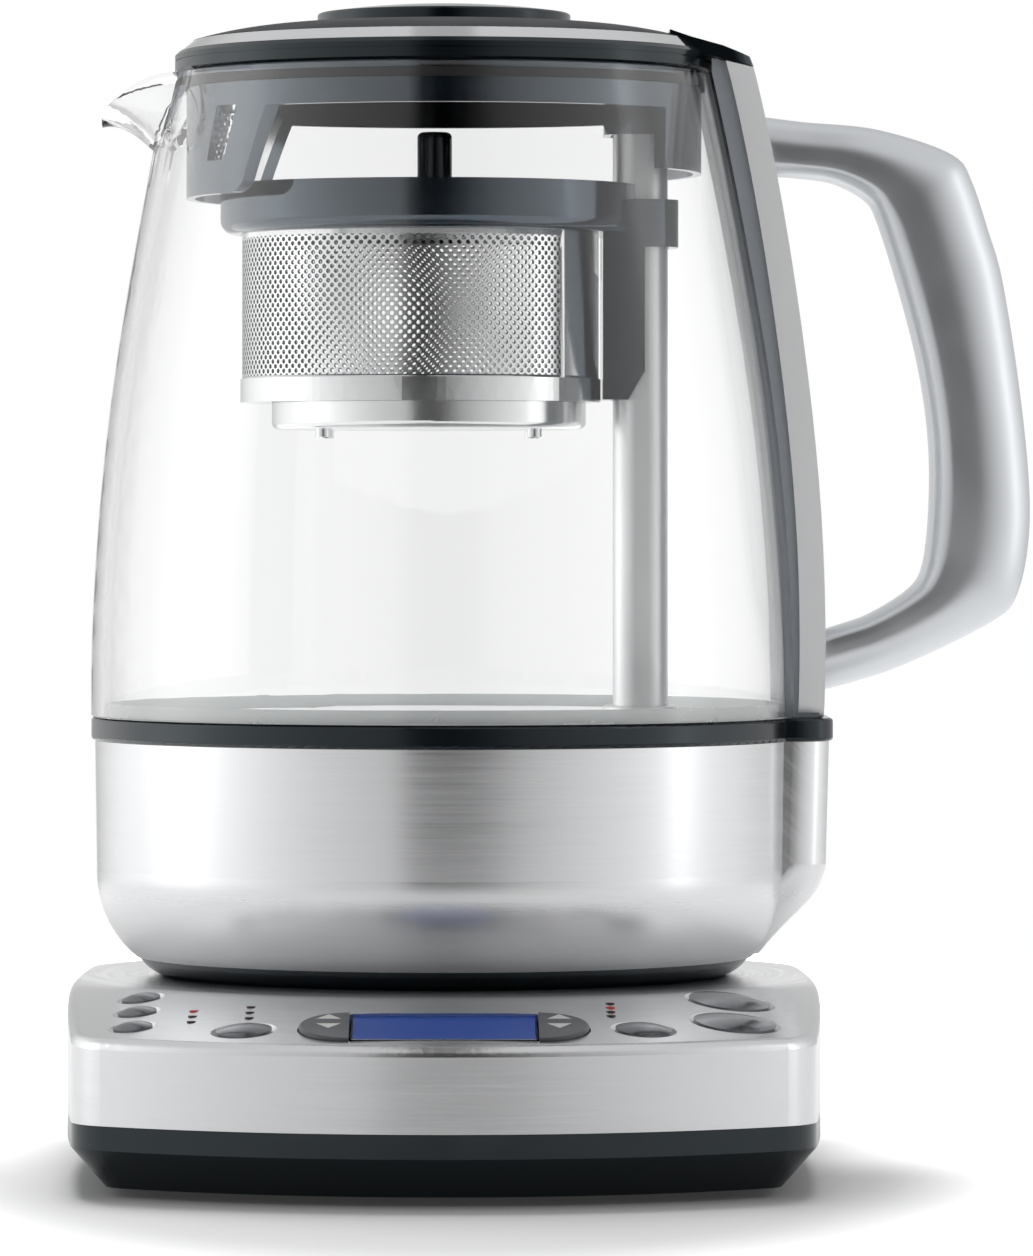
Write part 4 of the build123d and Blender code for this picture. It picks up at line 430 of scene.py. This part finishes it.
finishes = {name: kind(name, color, *shine, **more) for name, (kind, color, shine, more) in LOOKS.items()}
for node, part in nodes.items():
    wear(part, finishes[OWN_FINISH.get(node, node_slot[node])])


# ---------------------------------------------------------------- glass jug
wear(smoothed("glass_jug", FINE_ANGLE), finishes["jug_glass"])


# ---------------------------------------------------------------- perforated sheets
CELL_CORNERS = 8             # a cell's edge has a point at each corner and at the middle of each side
CELL_WELD = 2e-5             # neighbouring cells share their edges within this, in metres
SHEET_INPUTS = {
    "NodeSocketFloat": ("Radius", "Thickness", "First angle", "Pitch", "Row step", "Hole radius", "Foot",
                        "Centre"),
    "NodeSocketInt": ("Columns", "Rows"),
    "NodeSocketMaterial": ("Finish",),
}


def hole_cell(tree, entry):
    """One diamond with a round hole, flat and as wide as the pitch."""
    number = tree.nodes.new("GeometryNodeInputIndex").outputs["Index"]
    place = tree.nodes.new("GeometryNodeInputPosition").outputs["Position"]
    # the points of a circle are numbered round it: the odd ones are drawn in to the sides' middles
    disc = add_node(tree, "GeometryNodeMeshCircle", fill_type="NGON", Vertices=CELL_CORNERS, Radius=1.0)
    odd = calculate(tree, "MODULO", number, 2.0)
    reach = calculate(tree, "SUBTRACT", 1.0, calculate(tree, "MULTIPLY", odd, 1 - math.sqrt(0.5)))
    half_cell = vector_of(tree, calculate(tree, "MULTIPLY", entry["Pitch"], 0.5), entry["Row step"], 1.0)
    corner = on_vectors(tree, "MULTIPLY", place, vector_of(tree, reach, reach, 1.0))
    diamond = add_node(tree, "GeometryNodeSetPosition", Geometry=disc.outputs["Mesh"],
                       Position=on_vectors(tree, "MULTIPLY", corner, half_cell))
    # a second ring of the same points is drawn in to the hole's edge, and the face in it taken out
    pushed = add_node(tree, "GeometryNodeExtrudeMesh", mode="FACES", Mesh=diamond.outputs["Geometry"],
                      Offset_Scale=0.0)
    aim = on_vectors(tree, "NORMALIZE", on_vectors(tree, "DIVIDE", place, half_cell))
    drawn_in = add_node(tree, "GeometryNodeSetPosition", Geometry=pushed.outputs["Mesh"],
                        Selection=pushed.outputs["Top"],
                        Position=on_vectors(tree, "SCALE", aim, entry["Hole radius"]))
    cell = add_node(tree, "GeometryNodeDeleteGeometry", domain="FACE",
                    Geometry=drawn_in.outputs["Geometry"], Selection=pushed.outputs["Top"])
    return cell.outputs["Geometry"]


def cell_field(tree, entry, cell):
    """The cells side by side on a flat field, every second row shifted by half a pitch."""
    pitch, row_step = entry["Pitch"], entry["Row step"]
    columns_less_one = calculate(tree, "SUBTRACT", entry["Columns"], 1.0)
    rows_less_one = calculate(tree, "SUBTRACT", entry["Rows"], 1.0)
    width = calculate(tree, "MULTIPLY", columns_less_one, pitch)
    height = calculate(tree, "MULTIPLY", rows_less_one, row_step)
    field = add_node(tree, "GeometryNodeMeshGrid", Size_X=width, Size_Y=height,
                     Vertices_X=entry["Columns"], Vertices_Y=entry["Rows"])
    place = axes_of(tree, tree.nodes.new("GeometryNodeInputPosition").outputs["Position"])
    from_foot = calculate(tree, "ADD", place["Y"], calculate(tree, "MULTIPLY", height, 0.5))
    from_start = calculate(tree, "ADD", place["X"], calculate(tree, "MULTIPLY", width, 0.5))
    row = calculate(tree, "ROUND", calculate(tree, "DIVIDE", from_foot, row_step))
    half_shift = calculate(tree, "MULTIPLY", calculate(tree, "MODULO", row, 2.0),
                           calculate(tree, "MULTIPLY", pitch, 0.5))
    spot = vector_of(tree, calculate(tree, "ADD", from_start, half_shift), from_foot)
    spots = add_node(tree, "GeometryNodeSetPosition", Geometry=field.outputs["Mesh"], Position=spot)
    copies = add_node(tree, "GeometryNodeInstanceOnPoints", Points=spots.outputs["Geometry"], Instance=cell)
    flat = add_node(tree, "GeometryNodeRealizeInstances", Geometry=copies.outputs["Instances"])
    return welded(tree, flat.outputs["Geometry"])


def welded(tree, geometry):
    """The geometry with doubled points joined."""
    return add_node(tree, "GeometryNodeMergeByDistance", Geometry=geometry,
                    Distance=CELL_WELD).outputs["Geometry"]


def thickened(tree, skin, thickness):
    """A closed sheet: the skin pushed up whole, and a turned copy of it as the other side."""
    raised = add_node(tree, "GeometryNodeExtrudeMesh", mode="FACES", Mesh=skin, Individual=False,
                      Offset=vector_of(tree, z=1.0), Offset_Scale=thickness)
    turned_over = add_node(tree, "GeometryNodeFlipFaces", Mesh=skin)
    both = tree.nodes.new("GeometryNodeJoinGeometry")
    feed(tree, both.inputs["Geometry"], raised.outputs["Mesh"])
    feed(tree, both.inputs["Geometry"], turned_over.outputs["Mesh"])
    return welded(tree, both.outputs["Geometry"])


def bent(tree, entry, sheet):
    """The flat sheet bent round an upright axis."""
    place = axes_of(tree, tree.nodes.new("GeometryNodeInputPosition").outputs["Position"])
    along = calculate(tree, "DIVIDE", place["X"], entry["Radius"])
    angle = calculate(tree, "ADD", entry["First angle"], along)
    out = calculate(tree, "ADD", entry["Radius"], place["Z"])
    x = calculate(tree, "MULTIPLY", out, calculate(tree, "COSINE", angle))
    y = calculate(tree, "MULTIPLY", out, calculate(tree, "SINE", angle))
    spot = vector_of(tree, calculate(tree, "ADD", x, entry["Centre"]), y,
                     calculate(tree, "ADD", place["Y"], entry["Foot"]))
    return add_node(tree, "GeometryNodeSetPosition", Geometry=sheet, Position=spot).outputs["Geometry"]


def perforated_tree():
    """Geometry Nodes: a bent sheet with staggered round holes, closed along every edge."""
    tree = bpy.data.node_groups.new("perforated_sheet", "GeometryNodeTree")
    tree.interface.new_socket("Geometry", in_out="OUTPUT", socket_type="NodeSocketGeometry")
    for kind, labels in SHEET_INPUTS.items():
        for label in labels:
            tree.interface.new_socket(label, in_out="INPUT", socket_type=kind)
    entry = tree.nodes.new("NodeGroupInput").outputs
    leave = tree.nodes.new("NodeGroupOutput")
    skin = cell_field(tree, entry, hole_cell(tree, entry))
    sheet = bent(tree, entry, thickened(tree, skin, entry["Thickness"]))
    whole = add_node(tree, "GeometryNodeRealizeInstances", Geometry=sheet)
    dressed = add_node(tree, "GeometryNodeSetMaterial", Geometry=whole.outputs["Geometry"],
                       Material=entry["Finish"])
    feed(tree, leave.inputs["Geometry"], dressed.outputs["Geometry"])
    return tree


def grown(name, tree, values):
    """A piece with the plain mesh that a Geometry Nodes tree makes with these values of its inputs."""
    holder = new_piece(name + "_maker", bpy.data.meshes.new(name + "_maker"))
    modifier = holder.modifiers.new(name, "NODES")
    modifier.node_group = tree
    for item in tree.interface.items_tree:
        if item.item_type == "SOCKET" and item.in_out == "INPUT":
            modifier[item.identifier] = values[item.name]
    piece = new_piece(name, settled(holder))
    holder.modifiers.clear()
    bpy.data.objects.remove(holder)
    piece.data.name = name
    return piece


perforated = perforated_tree()

# sizes in mm and angles in degrees; x is the place of the sheet's upright axis
# strainer: its wall stands round an axis a little left of the jug's
STRAINER = {"x": -5.0, "radius": 37.8, "thickness": 0.7, "pitch": 1.8355, "row": 0.98, "hole": 0.52,
            "from": 37.5, "to": 322.5, "foot": 164.3, "rows": 33}
# spout filter: coarser holes, round the jug's axis, centred on the spout's side
FILTER = {"x": 0.0, "radius": 52.75, "thickness": 0.5, "pitch": 2.3, "row": 1.15, "hole": 0.62,
          "from": 143.0, "to": 217.0, "foot": 208.3, "rows": 12}
SHEET_INSET = 0.03           # the sheet's faces lie this far inside the frame's
WINDOW_MARGIN = 0.6          # the window is smaller than the field of holes by this share of the pitch
WINDOW_REACH = 1.0           # the cutter stands this far out of both faces of the wall
WINDOW_STEPS = 96
RING_TOP = 164.9             # the plain band round the strainer's foot ends here
RING_LAP = 1.55              # the wall stands this deep in the band
EDGE_REACH = 0.1             # points this near to an edge's height belong to it


def window_block(name, sizes):
    """A closed arc of a wall: what is cut away for the holes."""
    inner = sizes["radius"] - sizes["thickness"] - WINDOW_REACH
    outer = sizes["radius"] + WINDOW_REACH
    margin = sizes["pitch"] * WINDOW_MARGIN
    foot = sizes["foot"] + margin
    top = sizes["foot"] + (sizes["rows"] - 1) * sizes["row"] - margin
    lean = math.degrees(margin / sizes["radius"])
    first, last = math.radians(sizes["from"] + lean), math.radians(sizes["to"] - lean)
    points = []
    for i in range(WINDOW_STEPS + 1):
        a = first + (last - first) * i / WINDOW_STEPS
        for r, z in ((inner, foot), (outer, foot), (outer, top), (inner, top)):
            points.append((sizes["x"] + r * math.cos(a), r * math.sin(a), z))
    return mesh_piece(name, points, tube_faces(WINDOW_STEPS + 1, 4))


def drop_edge(piece, edge, place):
    """Moves the points of a level edge, given by its height in metres, to another height in mm."""
    for vertex in piece.data.vertices:
        if abs(vertex.co.z - edge) < mm(EDGE_REACH):
            vertex.co.z = mm(place)


def perforate(node, sizes, foot=None):
    """Replaces a plain CAD wall by its frame with a window cut in it, and a sheet full of holes there.

    Where foot is given, the wall's own foot goes down to that height first.
    """
    finish = finishes["strainer_steel"]
    reach = math.radians(sizes["to"] - sizes["from"])
    inner = sizes["radius"] - sizes["thickness"]
    sheet = grown(node + "_holes", perforated, {
        "Radius": mm(inner + SHEET_INSET), "Thickness": mm(sizes["thickness"] - 2 * SHEET_INSET),
        "First angle": math.radians(sizes["from"]), "Pitch": mm(sizes["pitch"]),
        "Row step": mm(sizes["row"]), "Hole radius": mm(sizes["hole"]), "Foot": mm(sizes["foot"]),
        "Centre": mm(sizes["x"]), "Columns": int(reach * inner / sizes["pitch"]),
        "Rows": sizes["rows"], "Finish": finish})
    smooth(sheet.data, FINE_ANGLE)
    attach(sheet, node_body[node])
    border = smoothed(node, FINE_ANGLE)
    if foot:
        drop_edge(border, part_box(node)[0][2], foot)
    cutter = window_block(node + "_window", sizes)
    cut = border.modifiers.new("window", "BOOLEAN")
    cut.operation, cut.solver, cut.object = "DIFFERENCE", "EXACT", cutter
    plain = border.data
    border.data = settled(border)
    border.modifiers.clear()
    bpy.data.meshes.remove(plain)
    bpy.data.objects.remove(cutter)
    border.data.name = node + "_surface"
    wear(border, finish)


perforate("strainer_wall", STRAINER, RING_TOP - RING_LAP)
perforate("spout_filter", FILTER)
ring = wear(smoothed("strainer_ring"), finishes["strainer_steel"])
drop_edge(ring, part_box("strainer_ring")[1][2], RING_TOP)


# ---------------------------------------------------------------- handle
# its side view from the upper root to the lower one: x and z of the outer and of the inner edge
HANDLE_OUTER = [
    (66.2, 220.8), (75.5, 219.6), (92.4, 217.8), (109.2, 211.6), (111.7, 207.3), (115.3, 196.6),
    (118.3, 186.1), (124.1, 134.0), (120.4, 117.3), (116.5, 114.0), (96.5, 104.2), (86.5, 100.9),
    (78.8, 98.9)]
HANDLE_INNER = [
    (68.4, 208.3), (75.0, 207.9), (83.3, 206.5), (90.2, 202.4), (91.8, 199.3), (100.7, 168.1),
    (103.2, 146.9), (101.7, 125.7), (99.8, 121.7), (90.5, 115.4), (82.3, 112.5), (78.8, 111.4)]
HANDLE_HALF = 11.0
HANDLE_BEVEL = (0.2, 4.4)    # at the inner edge: share of the width, and depth
HANDLE_FLAT_END = 0.42       # share of the width where the side starts to round off outwards
HANDLE_FULLNESS = 0.85       # the outer side's power: 1 is an ellipse, and less is fuller
HANDLE_ROWS = 120
HANDLE_ANGLE = 40.0          # edges sharper than this stay sharp
BEVEL_STEPS, CROWN_STEPS, CURVE_STEPS = 6, 16, 24


def curve_point(p0, p1, p2, p3, t):
    """A point between the second and the third of four, on the smooth curve through them all."""
    before, here, after = [max(math.dist(a, b), 1e-6) ** 0.5 for a, b in ((p0, p1), (p1, p2), (p2, p3))]
    point = []
    for a, b, c, d in zip(p0, p1, p2, p3):
        into = ((b - a) / before - (c - a) / (before + here) + (c - b) / here) * here
        out = ((c - b) / here - (d - b) / (here + after) + (d - c) / after) * here
        point.append(b + into * t + (3 * (c - b) - 2 * into - out) * t ** 2
                     + (2 * (b - c) + into + out) * t ** 3)
    return tuple(point)


def smooth_line(points, count):
    """Points at even steps along a smooth curve through the given ones."""
    ends = [tuple(2 * a - b for a, b in zip(points[0], points[1])), *points,
            tuple(2 * a - b for a, b in zip(points[-1], points[-2]))]
    dense = [curve_point(*four, k / CURVE_STEPS)
             for four in zip(ends, ends[1:], ends[2:], ends[3:]) for k in range(CURVE_STEPS)]
    dense.append(tuple(points[-1]))
    run = [0.0]
    for a, b in zip(dense, dense[1:]):
        run.append(run[-1] + math.dist(a, b))
    line, at = [], 0
    for i in range(count):
        goal = run[-1] * i / (count - 1)
        while at < len(run) - 2 and run[at + 1] < goal:
            at += 1
        share = (goal - run[at]) / (run[at + 1] - run[at])
        line.append(tuple(a + (b - a) * share for a, b in zip(dense[at], dense[at + 1])))
    return line


def handle_section():
    """One side of the handle's section: share of the width, and distance from the middle plane."""
    width, depth = HANDLE_BEVEL
    side = []
    for k in range(BEVEL_STEPS + 1):
        turn = math.pi / 2 * k / BEVEL_STEPS
        side.append((width * (1 - math.cos(turn)), HANDLE_HALF - depth + depth * math.sin(turn)))
    side.append(((width + HANDLE_FLAT_END) / 2, HANDLE_HALF))
    for k in range(CROWN_STEPS + 1):
        turn = math.pi / 2 * k / CROWN_STEPS
        side.append((HANDLE_FLAT_END + (1 - HANDLE_FLAT_END) * math.sin(turn),
                     HANDLE_HALF * math.cos(turn) ** HANDLE_FULLNESS))
    return side


def make_handle():
    """Satin metal handle: bevelled at its inner edge, rounded off to its outer one."""
    side = handle_section()
    ring = [(share, -y) for share, y in side] + [(share, y) for share, y in reversed(side[:-1])]
    outer, inner = smooth_line(HANDLE_OUTER, HANDLE_ROWS), smooth_line(HANDLE_INNER, HANDLE_ROWS)
    points = [(xi + (xo - xi) * share, y, zi + (zo - zi) * share)
              for (xo, zo), (xi, zi) in zip(outer, inner) for share, y in ring]
    return mesh_piece("handle_grip", points, tube_faces(HANDLE_ROWS, len(ring)), HANDLE_ANGLE)


wear(stand_for(make_handle(), "handle"), finishes["handle_metal"])


# ---------------------------------------------------------------- arrows on the rocker pads
PADS = (("left_rocker", -22.9), ("right_rocker", 22.9))    # each pad, and x of its arrows
ARROW_PLACES = ((-98.2, 1), (-105.6, -1))                  # y of the arrow, and which way it points
ARROW_HALF_W, ARROW_LENGTH = 2.4, 3.6
ARROW_RISE, ARROW_ROOT = 0.06, 0.2                         # above the pad's face, and below it
ABOVE_PANEL = 60                                           # height from which the pads' faces are looked for


def make_arrow(name, pad, x, y, way):
    """A small raised triangle that points up or down a pad, set on the pad's own surface."""
    mesh = nodes[pad].data
    surface = BVHTree.FromPolygons([v.co for v in mesh.vertices], [f.vertices for f in mesh.polygons])
    half = way * ARROW_LENGTH / 2
    points = []
    for cx, cy in ((x - ARROW_HALF_W, y - half), (x + ARROW_HALF_W, y - half), (x, y + half)):
        face = surface.ray_cast(mm(cx, cy, ABOVE_PANEL), Vector((0, 0, -1)))[0].z * 1000
        points += [(cx, cy, face - ARROW_ROOT), (cx, cy, face + ARROW_RISE)]
    arrow = mesh_piece(name, points, [(0, 2, 4), (1, 5, 3), (0, 1, 3, 2), (2, 3, 5, 4), (4, 5, 1, 0)])
    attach(arrow, node_body[pad])
    wear(arrow, finishes["pulley_plastic"])


arrows = [(pad, x, y, way) for pad, x in PADS for y, way in ARROW_PLACES]
for number, arrow_place in enumerate(arrows, start=1):
    make_arrow("pad_arrow_%d" % number, *arrow_place)


# ---------------------------------------------------------------- camera
FRAME_WIDTH, FRAME_HEIGHT = 1033, 1256
FOCAL_PIXELS = 7500
AXIS_PIXEL_X, HORIZON_PIXEL_Y = 444, 515
CAMERA_DISTANCE, CAMERA_HEIGHT = 1590, 136.3
SENSOR_HEIGHT = 36
CLIP_START, CLIP_END = 0.05, 20


def make_camera():
    """A long lens at the jug's mid height, level, shifted to frame the whole machine."""
    data = bpy.data.cameras.new("camera")
    data.sensor_fit = "VERTICAL"
    data.sensor_height = SENSOR_HEIGHT
    data.lens = data.sensor_height * FOCAL_PIXELS / FRAME_HEIGHT
    data.shift_x = (FRAME_WIDTH / 2 - AXIS_PIXEL_X) / FRAME_HEIGHT
    data.shift_y = -(FRAME_HEIGHT / 2 - HORIZON_PIXEL_Y) / FRAME_HEIGHT
    data.clip_start, data.clip_end = CLIP_START, CLIP_END
    camera = bpy.data.objects.new("camera", data)
    camera.location = mm(0, -CAMERA_DISTANCE, CAMERA_HEIGHT)
    camera.rotation_euler = (math.pi / 2, 0, 0)
    bpy.context.scene.collection.objects.link(camera)
    bpy.context.scene.camera = camera


# ---------------------------------------------------------------- studio
# the room's walls: degrees from the camera's direction, positive to the right, and brightness
WALLS = [
    (-180, 0.62), (-166, 0.55), (-150, 0.85), (-134, 1.15), (-114, 1.35), (-104, 1.7), (-90, 1.75),
    (-75, 1.3), (-62, 1.05), (-52, 0.9), (-40, 0.74), (-28, 0.64), (-16, 0.56), (-9, 0.05), (8, 0.03),
    (15, 0.16), (24, 0.4), (34, 0.56), (44, 0.7), (64, 0.93), (76, 1.15), (83, 1.8), (90, 1.4),
    (97, 1.1), (112, 0.95), (124, 0.8), (137, 0.72), (165, 0.6), (180, 0.62)]
WALL_PEAK = 1.8
CEILING = 0.75
# the pairs below are where a change starts and ends; they measure a direction by its own x, y or z
CEILING_RISE = (0.45, 0.8)   # upwards, from the walls to the ceiling
LENS_GAP = (0.035, 0.105)    # sideways, half of the dark gap that runs up over the camera
LENS_GAP_END = (0.1, 0.4)    # backwards, where that gap ends
LENS_GAP_SHARE = 0.1         # of the room's brightness
STRIP_START, STRIP_END = (0.0, 0.15), (0.6, 0.85)    # backwards, the dark strips at the sides
STRIP_DEPTH = 0.8
BACKDROP = (0.975, 0.998)    # backwards, the white behind the machine
SOFT_LEVEL = 0.38            # light from the room on dull surfaces
TABLE_R = 750
TABLE_SIDES = 96
TABLE_TOP = -0.01            # just under the feet
TABLE_TONE = (0.8, 0.5)      # seen directly, and mirrored in the steel
TABLE_GLOW_AND_PAINTED_SHADOW = (0.03, 0.6)     # glow near the machine, kept low as a painted shadow, and far from it
PAINTED_SHADOW_FADE = (0.145, 0.21)    # where the glow starts and is full, in metres from the jug's axis: the painted shadow fades out between them
PAINTED_SHADOW_REACH = (1.62, 0.75, 1.0)    # the glow starts nearer at the machine's sides than in front, so the painted shadow reaches further in front
MIRRORED_GLOW = 0.5          # share of the glow, with its painted shadow, that the steel mirrors
LAMP = {"place": (-20, 560, 1150), "aim": (0, 150, 0), "size": 800, "power": 20}


def wall_ring(tree, axes):
    """The brightness of the walls all round, by the direction's angle."""
    front = calculate(tree, "MULTIPLY", axes["Y"], -1.0)
    azimuth = calculate(tree, "ARCTAN2", axes["X"], front)
    place = calculate(tree, "ADD", calculate(tree, "MULTIPLY", azimuth, 0.5 / math.pi), 0.5)
    ring = add_node(tree, "ShaderNodeValToRGB", Fac=place)
    stops = ring.color_ramp.elements
    while len(stops) > 1:
        stops.remove(stops[-1])
    for i, (degrees, level) in enumerate(WALLS):
        at, share = degrees / 360 + 0.5, level / WALL_PEAK
        stop = stops[0] if i == 0 else stops.new(at)
        stop.position = at
        stop.color = (share, share, share, 1)
    return calculate(tree, "MULTIPLY", ring.outputs["Color"], WALL_PEAK)


def make_world():
    """A white room: bright walls at the sides, a dark gap behind the camera, a soft ceiling."""
    world = bpy.data.worlds.new("studio")
    world.use_nodes = True
    bpy.context.scene.world = world
    tree = world.node_tree
    rays = tree.nodes.new("ShaderNodeLightPath").outputs
    axes = axes_of(tree, tree.nodes.new("ShaderNodeTexCoord").outputs["Generated"])
    room = blend_values(tree, ease(tree, axes["Z"], *CEILING_RISE), wall_ring(tree, axes), CEILING)
    # the gap between the two front lamps runs on over the camera
    sideways = calculate(tree, "ABSOLUTE", axes["X"])
    lit = calculate(tree, "MAXIMUM", ease(tree, sideways, *LENS_GAP), ease(tree, axes["Y"], *LENS_GAP_END))
    room = blend_values(tree, lit, calculate(tree, "MULTIPLY", room, LENS_GAP_SHARE), room)
    # through glass, the white backdrop ends in a dark strip at each side: it draws the glass's edges
    started, ended = ease(tree, axes["Y"], *STRIP_START), ease(tree, axes["Y"], *STRIP_END)
    strip = calculate(tree, "MULTIPLY", calculate(tree, "SUBTRACT", started, ended), STRIP_DEPTH)
    framed = calculate(tree, "MULTIPLY", room, calculate(tree, "SUBTRACT", 1.0, strip))
    mirrorings = calculate(tree, "MINIMUM", rays["Glossy Depth"], 1.0)
    unmirrored = calculate(tree, "SUBTRACT", 1.0, mirrorings)
    through = calculate(tree, "MULTIPLY", rays["Is Transmission Ray"], unmirrored)
    level = blend_values(tree, through, room, framed)
    # metal and glass that mirror the backdrop show it white too, and so does what lies behind glass
    mirrored = calculate(tree, "MAXIMUM", rays["Is Glossy Ray"], rays["Is Transmission Ray"])
    mirrored = calculate(tree, "MULTIPLY", mirrored, ease(tree, axes["Y"], *BACKDROP))
    backdrop = calculate(tree, "MAXIMUM", rays["Is Camera Ray"], mirrored)
    level = blend_values(tree, rays["Is Diffuse Ray"], level, SOFT_LEVEL)
    level = blend_values(tree, backdrop, level, 1.0)
    sky = tree.nodes["Background"]
    sky.inputs["Color"].default_value = (1, 1, 1, 1)
    feed(tree, sky.inputs["Strength"], level)


def make_floor():
    """A round white table top that keeps a soft shadow from the lamp, and a painted shadow near the machine
    where its glow is weak.
    """
    turns = [2 * math.pi * i / TABLE_SIDES for i in range(TABLE_SIDES)]
    rim = [(TABLE_R * math.cos(turn), TABLE_R * math.sin(turn), TABLE_TOP) for turn in turns]
    floor = mesh_piece("table", rim, [tuple(range(TABLE_SIDES))])
    material, tree, shader = new_material("table_white")
    set_shader(shader, Roughness=0.6, Specular_IOR_Level=0.2, Emission_Color=(1, 1, 1, 1))
    rays = tree.nodes.new("ShaderNodeLightPath").outputs
    feed(tree, shader.inputs["Base Color"], blend_values(tree, rays["Is Glossy Ray"], *TABLE_TONE))
    seen = calculate(tree, "MAXIMUM", rays["Is Camera Ray"], rays["Is Transmission Ray"])
    mirrored = calculate(tree, "MULTIPLY", rays["Is Glossy Ray"], MIRRORED_GLOW)
    seen = calculate(tree, "MAXIMUM", seen, mirrored)
    # painted shadow: the table's glow is weak near the machine and full far from it
    reach = on_vectors(tree, "LENGTH", on_vectors(tree, "MULTIPLY", own_place(tree), PAINTED_SHADOW_REACH))
    glow = blend_values(tree, ease(tree, reach, *PAINTED_SHADOW_FADE), *TABLE_GLOW_AND_PAINTED_SHADOW)
    feed(tree, shader.inputs["Emission Strength"], calculate(tree, "MULTIPLY", seen, glow))
    wear(floor, material)


def add_lamp(name, place, aim, size, power):
    """A broad area lamp that no mirror shows, at a place, looking at a point, both in millimetres."""
    data = bpy.data.lights.new(name, "AREA")
    data.size = mm(size)
    data.energy = power
    lamp = bpy.data.objects.new(name, data)
    lamp.location = mm(*place)
    lamp.rotation_euler = (mm(*aim) - mm(*place)).to_track_quat("-Z", "Y").to_euler()
    lamp.visible_glossy = False
    lamp.visible_transmission = False
    bpy.context.scene.collection.objects.link(lamp)


make_camera()
make_world()
make_floor()
add_lamp("overhead", **LAMP)
bpy.context.scene.view_settings.view_transform = "Standard"
